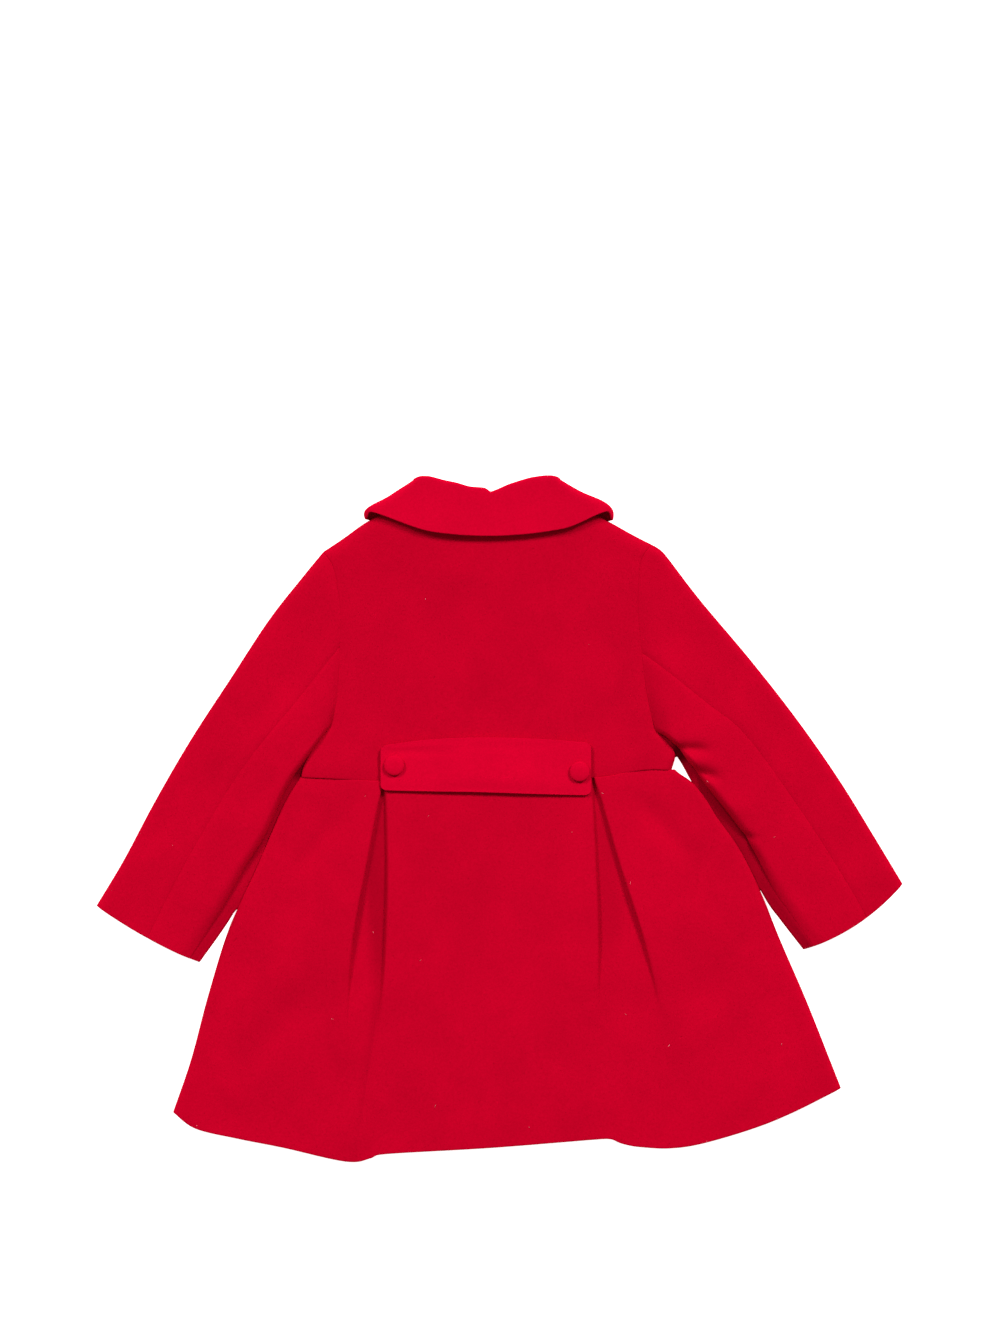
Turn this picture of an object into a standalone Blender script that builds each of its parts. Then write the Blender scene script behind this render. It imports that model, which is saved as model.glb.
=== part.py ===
"""Child's pleated coat laid flat, face down, built panel by panel as it is cut and sewn.

Millimetres are used in the tables and turned into metres when a mesh is made.
+X runs to the coat's right hand side as seen from above, +Y to the collar, +Z up off the floor.
"""
import math

import bmesh
import bpy
import numpy as np

MM = 0.001
CLOTH = 1.8
SEAM = 0.3
SLEEVE_SEAM = 0.7
WAIST_GAP = 0.5
UNDERARM_GAP = 1.4
ARMHOLE_GAP = 0.6
EDGE_LIFT = 1.8
SKIRT_EDGE = 3.2
SHOULDER_GAP = 1.0

FRONT_TOP = CLOTH
LAYER = CLOTH + SEAM
LAP_HALF = 25.0
LAP_RAMP = 26.0
LAP_CLEAR = 5.0
LAP_TOP_Y = 200.0
LAP_WAIST_Y = 30.0
LAP_HEM_Y = -250.0
FRONT_HEM_SHORT = 2.0

SHOULDER_ROLL = 10.0
SIDE_ROLL = 9.0
SEAM_DIP = 0.8
SEAM_DIP_WIDTH = 8.0
SEAM_DIP_SHARE = 0.5

SLEEVE_TOP = 7.6
SLEEVE_FOLD_OUTER = 6.0
SLEEVE_FOLD_INNER = 9.0
SLEEVE_OUTER_ARC = (66.0, -66.0)
SLEEVE_INNER_ARC = (-66.0, 86.0)
SLEEVE_BEND_END = 0.45
UNDERARM_FROM = 0.75
SHOULDER_TO = 0.15
UNDER_SLEEVE_SHORT = 0.5

FOLD_RADIUS = 1.15
FOLD_SOFTER = 2.2
BELT_CLOTH = 2.6
BELT_CORNER = 5.0
BUTTON_RADIUS = 7.6
BUTTON_HEIGHT = 5.0
BUTTON_SHOULDER = 1.8
BUTTON_UNDER = ((0.0, 0.0), (0.72, 0.0), (0.95, 0.8), (1.0, BUTTON_SHOULDER))
BUTTON_DOME = (20.0, 90.0)

# Steps of each mesh across a panel, along it or round it.
BODICE_TOP_STEPS = {"shoulder": 6, "neck": 14}
BODICE_SIDE_STEPS = {"armhole": 13, "side": 4}
BODICE_SIDE_CROWD = 1.35
FRONT_TOP_STEPS = {"shoulder": 5, "neck": 7}
FRONT_SIDE_STEPS = {"armhole": 14, "side": 3}
FRONT_SKIRT_STEPS = {"across": 10, "down": 12}
BACK_NECK_STEPS = 24
FRONT_NECK_STEPS = 40
SLEEVE_STEPS = 13
SLEEVE_SECTION_STEPS = {"upper": 5, "outer": 6, "lower": 7, "inner": 7, "under": 6}
COLLAR_STEPS = {"front": 7, "side": 5, "back": 17, "turn": 6}
COLLAR_FALL_SHARES = (0.34, 0.67, 1.0)
FOLD_STEPS = 5
UNDERLAY_STEPS = 3
SKIRT_STEPS = {"down": 15, "side": 10, "centre": 10}
SKIRT_SIDE_CROWD = 1.7
BELT_STEPS = {"along": 17, "across": 4}
BELT_CORNER_STEPS = (0.0, 0.3, 0.65, 1.0)
BUTTON_STEPS = {"dome": 5, "round": 20}

COLLECTION = "pleated_coat"
RED = (0.571, 0.002, 0.020, 1.0)
BRIGHT_RED = (0.665, 0.002, 0.025, 1.0)
WOOL_ROUGHNESS = 0.92

# Centre front line: x at the height y.
CENTRE_FRONT = {"y": (260.0, 30.0, -260.0), "x": (-8.6, -7.0, 5.0)}

# Seam and edge lines of the laid coat, (x, y) from the first end to the last.
SHOULDER_LEFT = ((-132.4, 199.9), (-116.6, 209.8), (-100.9, 220.4), (-85.9, 229.1), (-71.6, 236.6))
SHOULDER_RIGHT = ((114.4, 204.4), (100.4, 212.4), (85.1, 220.9), (69.4, 229.2), (54.4, 237.0))
ARMHOLE_LEFT = (
    (-132.4, 199.9), (-124.8, 189.0), (-119.6, 167.6), (-118.1, 133.9), (-119.8, 103.9), (-127.1, 69.4),
)
ARMHOLE_RIGHT = (
    (114.4, 204.4), (106.4, 193.5), (103.3, 163.9), (103.9, 126.4), (108.6, 88.9), (117.4, 65.6),
)
SIDE_LEFT = ((-127.1, 69.4), (-137.6, 49.9), (-148.1, 31.1))
SIDE_RIGHT = ((117.4, 65.6), (124.5, 58.0), (129.8, 49.5), (131.5, 34.6))
WAIST = (
    (-148.1, 31.1), (-119.6, 29.8), (-86.6, 28.3), (-7.1, 28.6), (69.4, 31.1), (105.4, 34.5), (131.5, 34.6),
)
SKIRT_WAIST = WAIST + ((138.4, 34.1),)
SKIRT_LEFT = (
    (-148.1, 31.1), (-156.4, 13.9), (-167.6, -20.6), (-183.0, -46.1), (-193.1, -61.1),
    (-205.1, -91.1), (-218.6, -136.1), (-230.6, -181.1), (-244.1, -220.1),
)
SKIRT_RIGHT = (
    (138.4, 34.1), (150.4, 12.4), (176.6, -23.6), (196.1, -61.1), (209.6, -91.1),
    (229.1, -136.1), (247.1, -181.1), (255.4, -202.1),
)
HEM = (
    (-244.1, -220.1), (-227.6, -232.1), (-196.1, -239.6), (-161.6, -246.4), (-114.4, -256.9),
    (-95.6, -253.9), (-84.4, -250.9), (-7.1, -246.4), (67.9, -240.4), (85.1, -240.1),
    (105.4, -245.2), (126.4, -246.4), (150.4, -243.4), (189.4, -232.1), (219.4, -220.1), (255.4, -202.1),
)
SLEEVE_LINES = {
    "left": {
        "outer": (
            (-132.4, 199.9), (-149.6, 178.9), (-172.9, 148.9), (-202.1, 103.9),
            (-231.4, 58.9), (-257.6, 13.9), (-281.6, -31.1), (-301.9, -64.9),
        ),
        "elbow": (
            (-118.1, 127.9), (-149.6, 88.9), (-175.9, 58.9), (-198.4, 28.9),
            (-224.6, -14.6), (-247.1, -55.9), (-262.1, -86.6),
        ),
        "inner": (
            (-128.2, 68.6), (-150.2, 30.4), (-158.5, 13.1), (-170.6, -20.6),
            (-186.4, -46.9), (-202.4, -76.1), (-224.6, -107.6),
        ),
        "armhole": ARMHOLE_LEFT,
        "side": -1.0,
    },
    "right": {
        "outer": (
            (114.4, 204.4), (127.1, 193.9), (150.4, 163.9), (187.9, 118.9),
            (223.1, 73.9), (254.6, 28.9), (282.4, -16.1), (301.9, -48.4),
        ),
        "elbow": (
            (103.9, 122.6), (154.1, 86.6), (184.1, 62.6), (225.4, 6.4),
            (259.1, -46.1), (271.9, -68.6),
        ),
        "inner": (
            (119.8, 64.8), (127.6, 57.0), (133.4, 49.0), (138.4, 41.4), (145.2, 27.9),
            (153.8, 13.1), (179.6, -22.9), (199.4, -60.4), (210.6, -76.1), (227.6, -97.9),
        ),
        "armhole": ARMHOLE_RIGHT,
        "side": 1.0,
    },
}

# Height of the back bodice's outer face down the centre.
BODICE_HEIGHT = {"y": (250.0, 190.0, 130.0, 70.0, 28.0), "z": (9.0, 9.0, 7.8, 7.6, 8.4)}

# Neck seam: the shoulder's neck points, and how far the back and front scoop below them.
NECK_LEFT = SHOULDER_LEFT[-1]
NECK_RIGHT = SHOULDER_RIGHT[-1]
BACK_NECK_DROP = 19.5
FRONT_NECK_DROP = 40.0

# Collar: side points, drop of the back and front edges, bow of the back edge, height of both leaves.
# Each row: name, left x, left y, right x, right y, back drop, back bow, front drop, front bow,
# front z, back z, side fold.
COLLAR_RINGS = (
    ("seam", -70.2, 237.8, 53.0, 238.2, 19.5, 2.0, 39.5, 1.0, 3.3, 8.1, 3.5),
    ("stand", -66.0, 246.5, 46.2, 246.5, 14.0, 1.3, 44.0, 1.0, 3.7, 8.1, 3.5),
    ("roll", -61.0, 254.1, 39.4, 254.1, 10.2, 1.0, 47.0, 1.0, 2.4, 9.6, 4.2),
    ("fall", -77.0, 244.3, 58.0, 244.6, 12.6, 1.3, 58.0, 1.2, 0.9, 11.4, 4.5),
    ("edge", -99.6, 225.6, 84.2, 226.0, 14.6, 2.0, 64.0, 1.6, 0.9, 13.2, 3.5),
)
COLLAR_TURN = 1.5
COLLAR_SIDE_ARC = 60.0
FRONT_ROLL_STEEP = 3.0
FRONT_ROLL_POWER = 18
COLLAR_FRONT_END = 7.0
COLLAR_RISE_LOW = 140.0
COLLAR_RISE_HIGH = 160.0
COLLAR_RISE_LEFT = (-118.0, -104.0)
COLLAR_RISE_RIGHT = (102.0, 88.0)

# Back skirt: wall height of the centre panel at its folds, of the side panels by their seams,
# and how far the centre panel settles between its folds.
SKIRT_HEIGHT = {
    "v": (0.0, 0.25, 0.48, 0.62, 0.8, 1.0),
    "centre": (7.8, 8.8, 9.3, 9.8, 9.5, 6.8),
    "side": (6.2, 6.5, 6.6, 6.6, 6.2, 5.6),
    "dip": (0.5, 2.0, 2.6, 2.8, 2.4, 0.8),
}

# Where a side panel starts and ends its rise to the fold, and where the centre panel has settled.
SIDE_RAMP = (0.35, 1.0)
CENTRE_SETTLED = 0.8

# Inverted pleats: fold lines and how sharply each fold turns under, from waist to hem.
PLEAT_LEFT = {
    "v": (0.0, 0.25, 0.48, 0.62, 0.8, 1.0),
    "side_x": (-87.2, -100.9, -110.6, -112.9, -115.0, -116.5),
    "centre_x": (-86.2, -84.6, -86.0, -90.0, -98.0, -106.1),
    "side_turn": (180.0, 172.0, 166.0, 140.0, 75.0, 35.0),
    "side_leg": (14.0, 13.0, 9.0, 3.0, 2.2, 3.2),
    "centre_turn": (180.0, 179.0, 176.0, 150.0, 90.0, 42.0),
    "centre_leg": (14.0, 12.0, 9.0, 1.2, 1.0, 3.2),
}
PLEAT_RIGHT = {
    "v": (0.0, 0.25, 0.48, 0.62, 0.8, 1.0),
    "side_x": (70.2, 89.0, 109.0, 118.0, 130.0, 142.9),
    "centre_x": (69.2, 72.6, 74.6, 74.6, 73.4, 70.9),
    "side_turn": (180.0, 172.0, 162.0, 110.0, 45.0, 22.0),
    "side_leg": (14.0, 13.0, 8.0, 2.4, 4.6, 5.0),
    "centre_turn": (180.0, 179.0, 172.0, 140.0, 60.0, 24.0),
    "centre_leg": (14.0, 11.0, 4.0, 1.0, 2.0, 4.0),
}

# Half belt: edges as (x, y) from the left end to the right.
BELT_TOP = ((-88.9, 54.8), (-52.0, 59.5), (-14.6, 61.0), (28.0, 60.0), (68.6, 57.0))
BELT_BOTTOM = ((-88.9, 21.4), (-52.0, 20.6), (-14.6, 20.0), (28.0, 18.6), (68.6, 17.6))
BELT_FLOOR = {"y": (17.0, 28.0, 62.0), "z": (8.75, 8.6, 8.2)}
BUTTONS = (("button_left", -78.6, 40.2), ("button_right", 59.8, 35.6))


def ease(x, low, high):
    """Smooth step from 0 at low to 1 at high."""
    t = np.clip((np.asarray(x, dtype=float) - low) / (high - low), 0.0, 1.0)
    return t * t * (3.0 - 2.0 * t)


def curve(table, steps=12):
    """Smooth line through the table's points."""
    pts = np.array(table, dtype=float)
    ends = np.vstack([2.0 * pts[0] - pts[1], pts, 2.0 * pts[-1] - pts[-2]])
    out = []
    for k in range(len(pts) - 1):
        a, b, c, d = ends[k:k + 4]
        for t in np.linspace(0.0, 1.0, steps, endpoint=False):
            out.append(0.5 * (2.0 * b + (c - a) * t + (2.0 * a - 5.0 * b + 4.0 * c - d) * t ** 2
                              + (3.0 * b - a - 3.0 * c + d) * t ** 3))
    out.append(pts[-1])
    return np.array(out)


def lengths(line):
    """Share of the line's length at each of its points."""
    run = np.concatenate([[0.0], np.cumsum(np.linalg.norm(np.diff(line, axis=0), axis=1))])
    return run / run[-1]


def at(line, shares):
    """Points at the given shares of the line's length."""
    run = lengths(line)
    return np.stack([np.interp(shares, run, line[:, k]) for k in range(line.shape[1])], axis=1)


def chain(*parts):
    """Join sampled lines end to end, each given as (line, shares)."""
    rows = [at(line, shares) for line, shares in parts]
    return np.vstack([rows[0]] + [row[1:] for row in rows[1:]])


def even(count):
    """Evenly spaced shares."""
    return np.linspace(0.0, 1.0, count + 1)


def crowded(count):
    """Shares crowded towards both ends."""
    return 0.5 - 0.5 * np.cos(np.pi * even(count))


def crowded_start(count, power):
    """Shares crowded towards the start."""
    return even(count) ** power


def distance(points, line):
    """Distance from each point to the line."""
    flat = points.reshape(-1, 2)
    a, b = line[:-1], line[1:]
    ab = b - a
    t = np.einsum("pks,ks->pk", flat[:, None, :] - a[None], ab) / np.maximum((ab ** 2).sum(axis=1), 1e-9)
    near = a[None] + np.clip(t, 0.0, 1.0)[..., None] * ab[None]
    return np.linalg.norm(flat[:, None, :] - near, axis=2).min(axis=1).reshape(points.shape[:-1])


def rolled(d, width):
    """Rounded fall of a panel to its edge: 0 at the edge, 1 from the width inwards."""
    t = 1.0 - np.clip(d / width, 0.0, 1.0)
    return np.sqrt(np.maximum(1.0 - t * t, 0.0))


def patch(top, bottom, left, right):
    """Plan points filling four edges. Rows run from top to bottom, columns from left to right."""
    u = (0.5 * (lengths(top) + lengths(bottom)))[None, :, None]
    v = (0.5 * (lengths(left) + lengths(right)))[:, None, None]
    across = (1.0 - u) * left[:, None, :] + u * right[:, None, :]
    down = (1.0 - v) * top[None] + v * bottom[None]
    corners = ((1.0 - u) * (1.0 - v) * top[0] + u * (1.0 - v) * top[-1]
               + (1.0 - u) * v * bottom[0] + u * v * bottom[-1])
    return across + down - corners


def centre_front(y):
    """X of the centre front at the height y."""
    ys = CENTRE_FRONT["y"][::-1]
    return np.interp(y, ys, CENTRE_FRONT["x"][::-1])


def collar_rise(x, y):
    """Lift of the fronts where the collar's front leaves lie under them."""
    side = ease(x, *COLLAR_RISE_LEFT) * ease(-np.asarray(x), -COLLAR_RISE_RIGHT[0], -COLLAR_RISE_RIGHT[1])
    return LAYER * side * ease(y, COLLAR_RISE_LOW, COLLAR_RISE_HIGH)


def lap_rise(x, y):
    """Lift of the left front where it lies on the right front's lap."""
    edge = centre_front(y) - LAP_HALF - LAP_CLEAR
    return LAYER * ease(x, edge - LAP_RAMP, edge)


def neck_line(drop, count):
    """Neck seam from the left neck point to the right one."""
    s = np.linspace(-1.0, 1.0, count + 1)
    a, b = np.array(NECK_LEFT), np.array(NECK_RIGHT)
    line = a + (b - a) * ((s + 1.0) / 2.0)[:, None]
    line[:, 1] -= drop * (1.0 - s ** 2)
    return line


def material(name, colour):
    """Plain wool of one colour."""
    mat = bpy.data.materials.new(name)
    mat.use_nodes = True
    shader = mat.node_tree.nodes["Principled BSDF"]
    shader.inputs["Base Color"].default_value = colour
    shader.inputs["Roughness"].default_value = WOOL_ROUGHNESS
    shader.inputs["Metallic"].default_value = 0.0
    return mat


def add_object(name, bm, colour, collection):
    """Object made from a finished bmesh."""
    mesh = bpy.data.meshes.new(name)
    bm.to_mesh(mesh)
    bm.free()
    mesh.materials.append(material(name + "_wool", colour))
    obj = bpy.data.objects.new(name, mesh)
    collection.objects.link(obj)
    return obj


def wall(name, grid, collection, facing_up=True, thickness=CLOTH, offset=-1.0, colour=RED):
    """Cloth wall: an open grid of (x, y, z) points thickened by Solidify."""
    bm = bmesh.new()
    rows, cols = grid.shape[:2]
    verts = [[bm.verts.new(grid[j, i] * MM) for i in range(cols)] for j in range(rows)]
    for j in range(rows - 1):
        for i in range(cols - 1):
            quad = [verts[j][i], verts[j + 1][i], verts[j + 1][i + 1], verts[j][i + 1]]
            bm.faces.new(quad if facing_up else quad[::-1])
    obj = add_object(name, bm, colour, collection)
    solidify = obj.modifiers.new("cloth", "SOLIDIFY")
    solidify.thickness = thickness * MM
    solidify.offset = offset
    solidify.use_quality_normals = True
    return obj


def with_height(plan, z):
    """Plan points with their heights."""
    return np.concatenate([plan, z[..., None]], axis=2)


def bodice_height(plan):
    """Outer face of the back bodice over the plan points."""
    x, y = plan[..., 0], plan[..., 1]
    base = np.interp(y, BODICE_HEIGHT["y"][::-1], BODICE_HEIGHT["z"][::-1])
    shoulder = np.minimum(distance(plan, curve(SHOULDER_LEFT)), distance(plan, curve(SHOULDER_RIGHT)))
    side = np.minimum(distance(plan, curve(SIDE_LEFT)), distance(plan, curve(SIDE_RIGHT)))
    arm = np.minimum(distance(plan, curve(ARMHOLE_LEFT)), distance(plan, curve(ARMHOLE_RIGHT)))
    low = FRONT_TOP + SEAM + EDGE_LIFT + collar_rise(x, y)
    waist = distance(plan, curve(WAIST))
    arm_dip = SEAM_DIP * (1.0 - ease(arm, 0.0, SEAM_DIP_WIDTH))
    dip = arm_dip + SEAM_DIP_SHARE * SEAM_DIP * (1.0 - ease(waist, 0.0, SEAM_DIP_WIDTH))
    return low + (base - low - dip) * rolled(shoulder, SHOULDER_ROLL) * rolled(side, SIDE_ROLL)


def build_back_bodice(collection):
    """Back bodice: neck and shoulders on top, armholes and sides, waist seam below."""
    down = WAIST_GAP * 0.5
    shoulder = even(BODICE_TOP_STEPS["shoulder"])
    neck = (neck_line(BACK_NECK_DROP, BACK_NECK_STEPS), even(BODICE_TOP_STEPS["neck"]))
    top = chain((curve(SHOULDER_LEFT), shoulder), neck, (curve(SHOULDER_RIGHT)[::-1], shoulder))
    bottom = at(curve(WAIST), crowded(len(top) - 1)) + (0.0, down)
    arm = crowded_start(BODICE_SIDE_STEPS["armhole"], BODICE_SIDE_CROWD)
    side = even(BODICE_SIDE_STEPS["side"])
    left = chain((curve(ARMHOLE_LEFT), arm), (curve(SIDE_LEFT), side))
    right = chain((curve(ARMHOLE_RIGHT), arm), (curve(SIDE_RIGHT), side))
    left[-1], right[-1] = bottom[0], bottom[-1]
    plan = patch(top, bottom, left, right)
    return wall("back_bodice", with_height(plan, bodice_height(plan)), collection)


def build_front_bodice(side, collection):
    """Front bodice: neck and shoulder on top, armhole and side outside, lap inside."""
    is_left = side == "left"
    edge_shift = LAP_HALF if is_left else -LAP_HALF
    neck = neck_line(FRONT_NECK_DROP, FRONT_NECK_STEPS)
    lap_x = centre_front(LAP_TOP_Y) + edge_shift
    keep = neck[neck[:, 0] < lap_x] if is_left else neck[neck[:, 0] > lap_x]
    lap_top = np.array([[lap_x, np.interp(lap_x, neck[:, 0], neck[:, 1])]])
    lap_foot = np.array([centre_front(LAP_WAIST_Y) + edge_shift, 0.0])
    waist = curve(WAIST) + (0.0, WAIST_GAP * 0.5)
    lap_foot[1] = np.interp(lap_foot[0], waist[:, 0], waist[:, 1])
    on_shoulder, on_neck = even(FRONT_TOP_STEPS["shoulder"]), even(FRONT_TOP_STEPS["neck"])
    on_arm, on_side = even(FRONT_SIDE_STEPS["armhole"]), even(FRONT_SIDE_STEPS["side"])
    inner = at(np.vstack([lap_top, lap_foot]), even(sum(FRONT_SIDE_STEPS.values())))
    if is_left:
        top = chain((curve(SHOULDER_LEFT), on_shoulder), (np.vstack([keep, lap_top]), on_neck))
        outer = chain((curve(ARMHOLE_LEFT), on_arm), (curve(SIDE_LEFT), on_side))
        foot = np.vstack([waist[waist[:, 0] < lap_foot[0]], lap_foot])
        left, right = outer, inner
    else:
        top = chain((np.vstack([lap_top, keep]), on_neck), (curve(SHOULDER_RIGHT)[::-1], on_shoulder))
        outer = chain((curve(ARMHOLE_RIGHT), on_arm), (curve(SIDE_RIGHT), on_side))
        foot = np.vstack([lap_foot, waist[waist[:, 0] > lap_foot[0]]])
        left, right = inner, outer
    bottom = at(foot, even(len(top) - 1))
    left[-1], right[-1] = bottom[0], bottom[-1]
    plan = patch(top, bottom, left, right)
    z = collar_rise(plan[..., 0], plan[..., 1])
    if is_left:
        z = z + lap_rise(plan[..., 0], plan[..., 1])
    return wall("front_bodice_" + side, with_height(plan, z), collection, facing_up=False)


def build_front_skirt(side, collection):
    """Front skirt: waist on top, side seam outside, lap inside, hem a little short of the back's."""
    is_left = side == "left"
    edge_shift = LAP_HALF if is_left else -LAP_HALF
    waist = curve(SKIRT_WAIST) - (0.0, WAIST_GAP * 0.5)
    hem = curve(HEM) + (0.0, FRONT_HEM_SHORT)
    head_x = centre_front(LAP_WAIST_Y) + edge_shift
    foot_x = centre_front(LAP_HEM_Y) + edge_shift
    across, down = even(FRONT_SKIRT_STEPS["across"]), even(FRONT_SKIRT_STEPS["down"])
    head = np.array([[head_x, np.interp(head_x, waist[:, 0], waist[:, 1])]])
    foot = np.array([[foot_x, np.interp(foot_x, hem[:, 0], hem[:, 1])]])
    inner = at(np.vstack([head, foot]), down)
    if is_left:
        top = at(np.vstack([waist[waist[:, 0] < head_x], head]), across)
        bottom = at(np.vstack([hem[hem[:, 0] < foot_x], foot]), across)
        left, right = at(curve(SKIRT_LEFT), down), inner
    else:
        top = at(np.vstack([head, waist[waist[:, 0] > head_x]]), across)
        bottom = at(np.vstack([foot, hem[hem[:, 0] > foot_x]]), across)
        left, right = inner, at(curve(SKIRT_RIGHT), down)
    left[0], right[0], left[-1], right[-1] = top[0], top[-1], bottom[0], bottom[-1]
    plan = patch(top, bottom, left, right)
    z = np.zeros(plan.shape[:2])
    if is_left:
        z = lap_rise(plan[..., 0], plan[..., 1])
    return wall("skirt_front_" + side, with_height(plan, z), collection, facing_up=False)


def sleeve_sections(lines, count):
    """Plan lines of the sleeve's outer fold, elbow seam and inner fold at each section."""
    shares = even(count)
    return [at(curve(lines[key]), shares) for key in ("outer", "elbow", "inner")]


def sleeve_grids(lines, count):
    """Wall grids of the top sleeve and the under sleeve, from the armhole to the cuff."""
    outer, elbow, inner = sleeve_sections(lines, count)
    armhole = curve(lines["armhole"])
    head = np.vstack([outer[0], elbow[0], inner[0]])
    half = CLOTH * 0.5
    low, high = half, SLEEVE_TOP - half
    middle, rise = 0.5 * (low + high), 0.5 * (high - low)
    top_rows, under_rows = [], []
    for j in range(count + 1):
        t = j / count
        o, e, i = outer[j], elbow[j], inner[j]
        span_o, span_i = np.linalg.norm(e - o), np.linalg.norm(i - e)
        width = span_o + span_i
        bend = 1.0 - ease(t, 0.0, SLEEVE_BEND_END)

        def plan(d):
            """Point at the distance d from the outer fold, bent to the armhole near the top."""
            straight = o + (e - o) * (d / span_o) if d < span_o else e + (i - e) * ((d - span_o) / span_i)
            curved = at(armhole, np.array([np.clip(d / width, 0.0, 1.0)]))[0]
            gap = ARMHOLE_GAP + UNDERARM_GAP * float(ease(d / width, UNDERARM_FROM, 1.0))
            curved[0] += lines["side"] * (gap + SHOULDER_GAP * float(1.0 - ease(d / width, 0.0, SHOULDER_TO)))
            return straight + bend * (curved - at(head, np.array([d / width]))[0])

        def point(d, z):
            """Wall point at the distance d from the outer fold and the height z."""
            return np.append(plan(d), z)

        seam = SLEEVE_SEAM * 0.5
        edge_z = high - SEAM_DIP_SHARE * SEAM_DIP
        start = half
        end = width - half
        top = [point(span_o - seam, edge_z), point(span_o - 0.5 * SEAM_DIP_WIDTH, high)]
        fold_start, fold_end = start + SLEEVE_FOLD_OUTER, end - SLEEVE_FOLD_INNER
        for d in np.linspace(span_o - SEAM_DIP_WIDTH, fold_start, SLEEVE_SECTION_STEPS["upper"]):
            top.append(point(d, high))
        for angle in np.linspace(*np.radians(SLEEVE_OUTER_ARC), SLEEVE_SECTION_STEPS["outer"]):
            d = start + SLEEVE_FOLD_OUTER * (1.0 - math.cos(angle))
            top.append(point(d, middle + rise * math.sin(angle)))
        for d in np.linspace(fold_start, fold_end, SLEEVE_SECTION_STEPS["lower"]):
            top.append(point(d, low))
        for angle in np.linspace(*np.radians(SLEEVE_INNER_ARC), SLEEVE_SECTION_STEPS["inner"]):
            d = end - SLEEVE_FOLD_INNER * (1.0 - math.cos(angle))
            top.append(point(d, middle + rise * math.sin(angle)))
        top_rows.append(top)
        front_seam = fold_end - SEAM - UNDER_SLEEVE_SHORT
        under = [point(span_o + seam, edge_z), point(span_o + 0.5 * SEAM_DIP_WIDTH, high)]
        for d in np.linspace(span_o + SEAM_DIP_WIDTH, front_seam, SLEEVE_SECTION_STEPS["under"]):
            under.append(point(d, high))
        under_rows.append(under)
    return np.array(top_rows), np.array(under_rows)


def build_sleeve(side, collection):
    """Two-piece sleeve: the top piece wraps both folds, the under piece lies between its seams."""
    lines = SLEEVE_LINES[side]
    top, under = sleeve_grids(lines, SLEEVE_STEPS)
    is_left = side == "left"
    wall("sleeve_" + side + "_top", top, collection, facing_up=not is_left, offset=0.0)
    wall("sleeve_" + side + "_under", under, collection, facing_up=is_left, offset=0.0)


def collar_ring(row, out=0.0, up=0.0):
    """One ring of the collar, from the left front end round the back to the right front end."""
    _, lx, ly, rx, ry, back_drop, bow, front_drop, front_bow, low, high, fold = row
    lx, rx, high, low = lx - out, rx + out, high + out, low - out
    mid_x = 0.5 * (lx + rx)
    half = 0.5 * (rx - lx)
    middle, rise = 0.5 * (high + low), 0.5 * (high - low)

    def back_y(s):
        """Y of the back leaf at the share s from the middle to a side."""
        return 0.5 * (ly + ry) + 0.5 * s * (ry - ly) - back_drop * (1.0 - abs(s) ** bow) + up

    def front_y(s):
        """Y of the front leaf at the share s from the middle to a side."""
        steep = 1.0 + FRONT_ROLL_STEEP * abs(s) * (1.0 - abs(s) ** FRONT_ROLL_POWER)
        return 0.5 * (ly + ry) + 0.5 * s * (ry - ly) - front_drop * (1.0 - s * s) ** front_bow + up * steep

    pts = []
    front_s = -(COLLAR_FRONT_END / half)
    side_s = -(1.0 - fold / half)
    arc = math.radians(COLLAR_SIDE_ARC)
    for s in np.linspace(front_s, side_s, COLLAR_STEPS["front"]):
        pts.append((mid_x + half * s, front_y(s), low))
    for angle in np.linspace(-arc, arc, COLLAR_STEPS["side"]):
        s = -(1.0 - fold * (1.0 - math.cos(angle)) / half)
        share = 0.5 + 0.5 * math.sin(angle)
        y = (1.0 - share) * front_y(s) + share * back_y(s)
        pts.append((mid_x + half * s, y, middle + rise * math.sin(angle)))
    for s in np.linspace(side_s, -side_s, COLLAR_STEPS["back"]):
        pts.append((mid_x + half * s, back_y(s), high))
    for angle in np.linspace(arc, -arc, COLLAR_STEPS["side"]):
        s = 1.0 - fold * (1.0 - math.cos(angle)) / half
        share = 0.5 + 0.5 * math.sin(angle)
        y = (1.0 - share) * front_y(s) + share * back_y(s)
        pts.append((mid_x + half * s, y, middle + rise * math.sin(angle)))
    for s in np.linspace(-side_s, -front_s, COLLAR_STEPS["front"]):
        pts.append((mid_x + half * s, front_y(s), low))
    return np.array(pts)


def build_collar(collection):
    """Round collar: stand up from the neck seam, roll over, fall to the outer edge."""
    seam, stand, roll, fall, edge = COLLAR_RINGS
    rings = [collar_ring(seam), collar_ring(stand)]
    for turn in np.linspace(-0.5 * math.pi, 0.5 * math.pi, COLLAR_STEPS["turn"]):
        rings.append(collar_ring(roll, COLLAR_TURN * math.sin(turn), COLLAR_TURN * math.cos(turn)))
    rings.append(collar_ring(fall))
    for share in COLLAR_FALL_SHARES:
        mixed = ("mix",) + tuple((1.0 - share) * a + share * b for a, b in zip(fall[1:], edge[1:]))
        rings.append(collar_ring(mixed))
    return wall("collar", np.array(rings), collection, facing_up=False, offset=0.0, colour=BRIGHT_RED)


def fold_radius(turn):
    """Radius of a fold's wall: tight when folded flat, softer as it opens."""
    return FOLD_RADIUS + FOLD_SOFTER * (1.0 - turn / 180.0)


def fold_reach(turn):
    """How far a fold's wall stands out past the end of its panel."""
    return fold_radius(turn) * math.sin(math.radians(min(turn, 90.0)))


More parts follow.
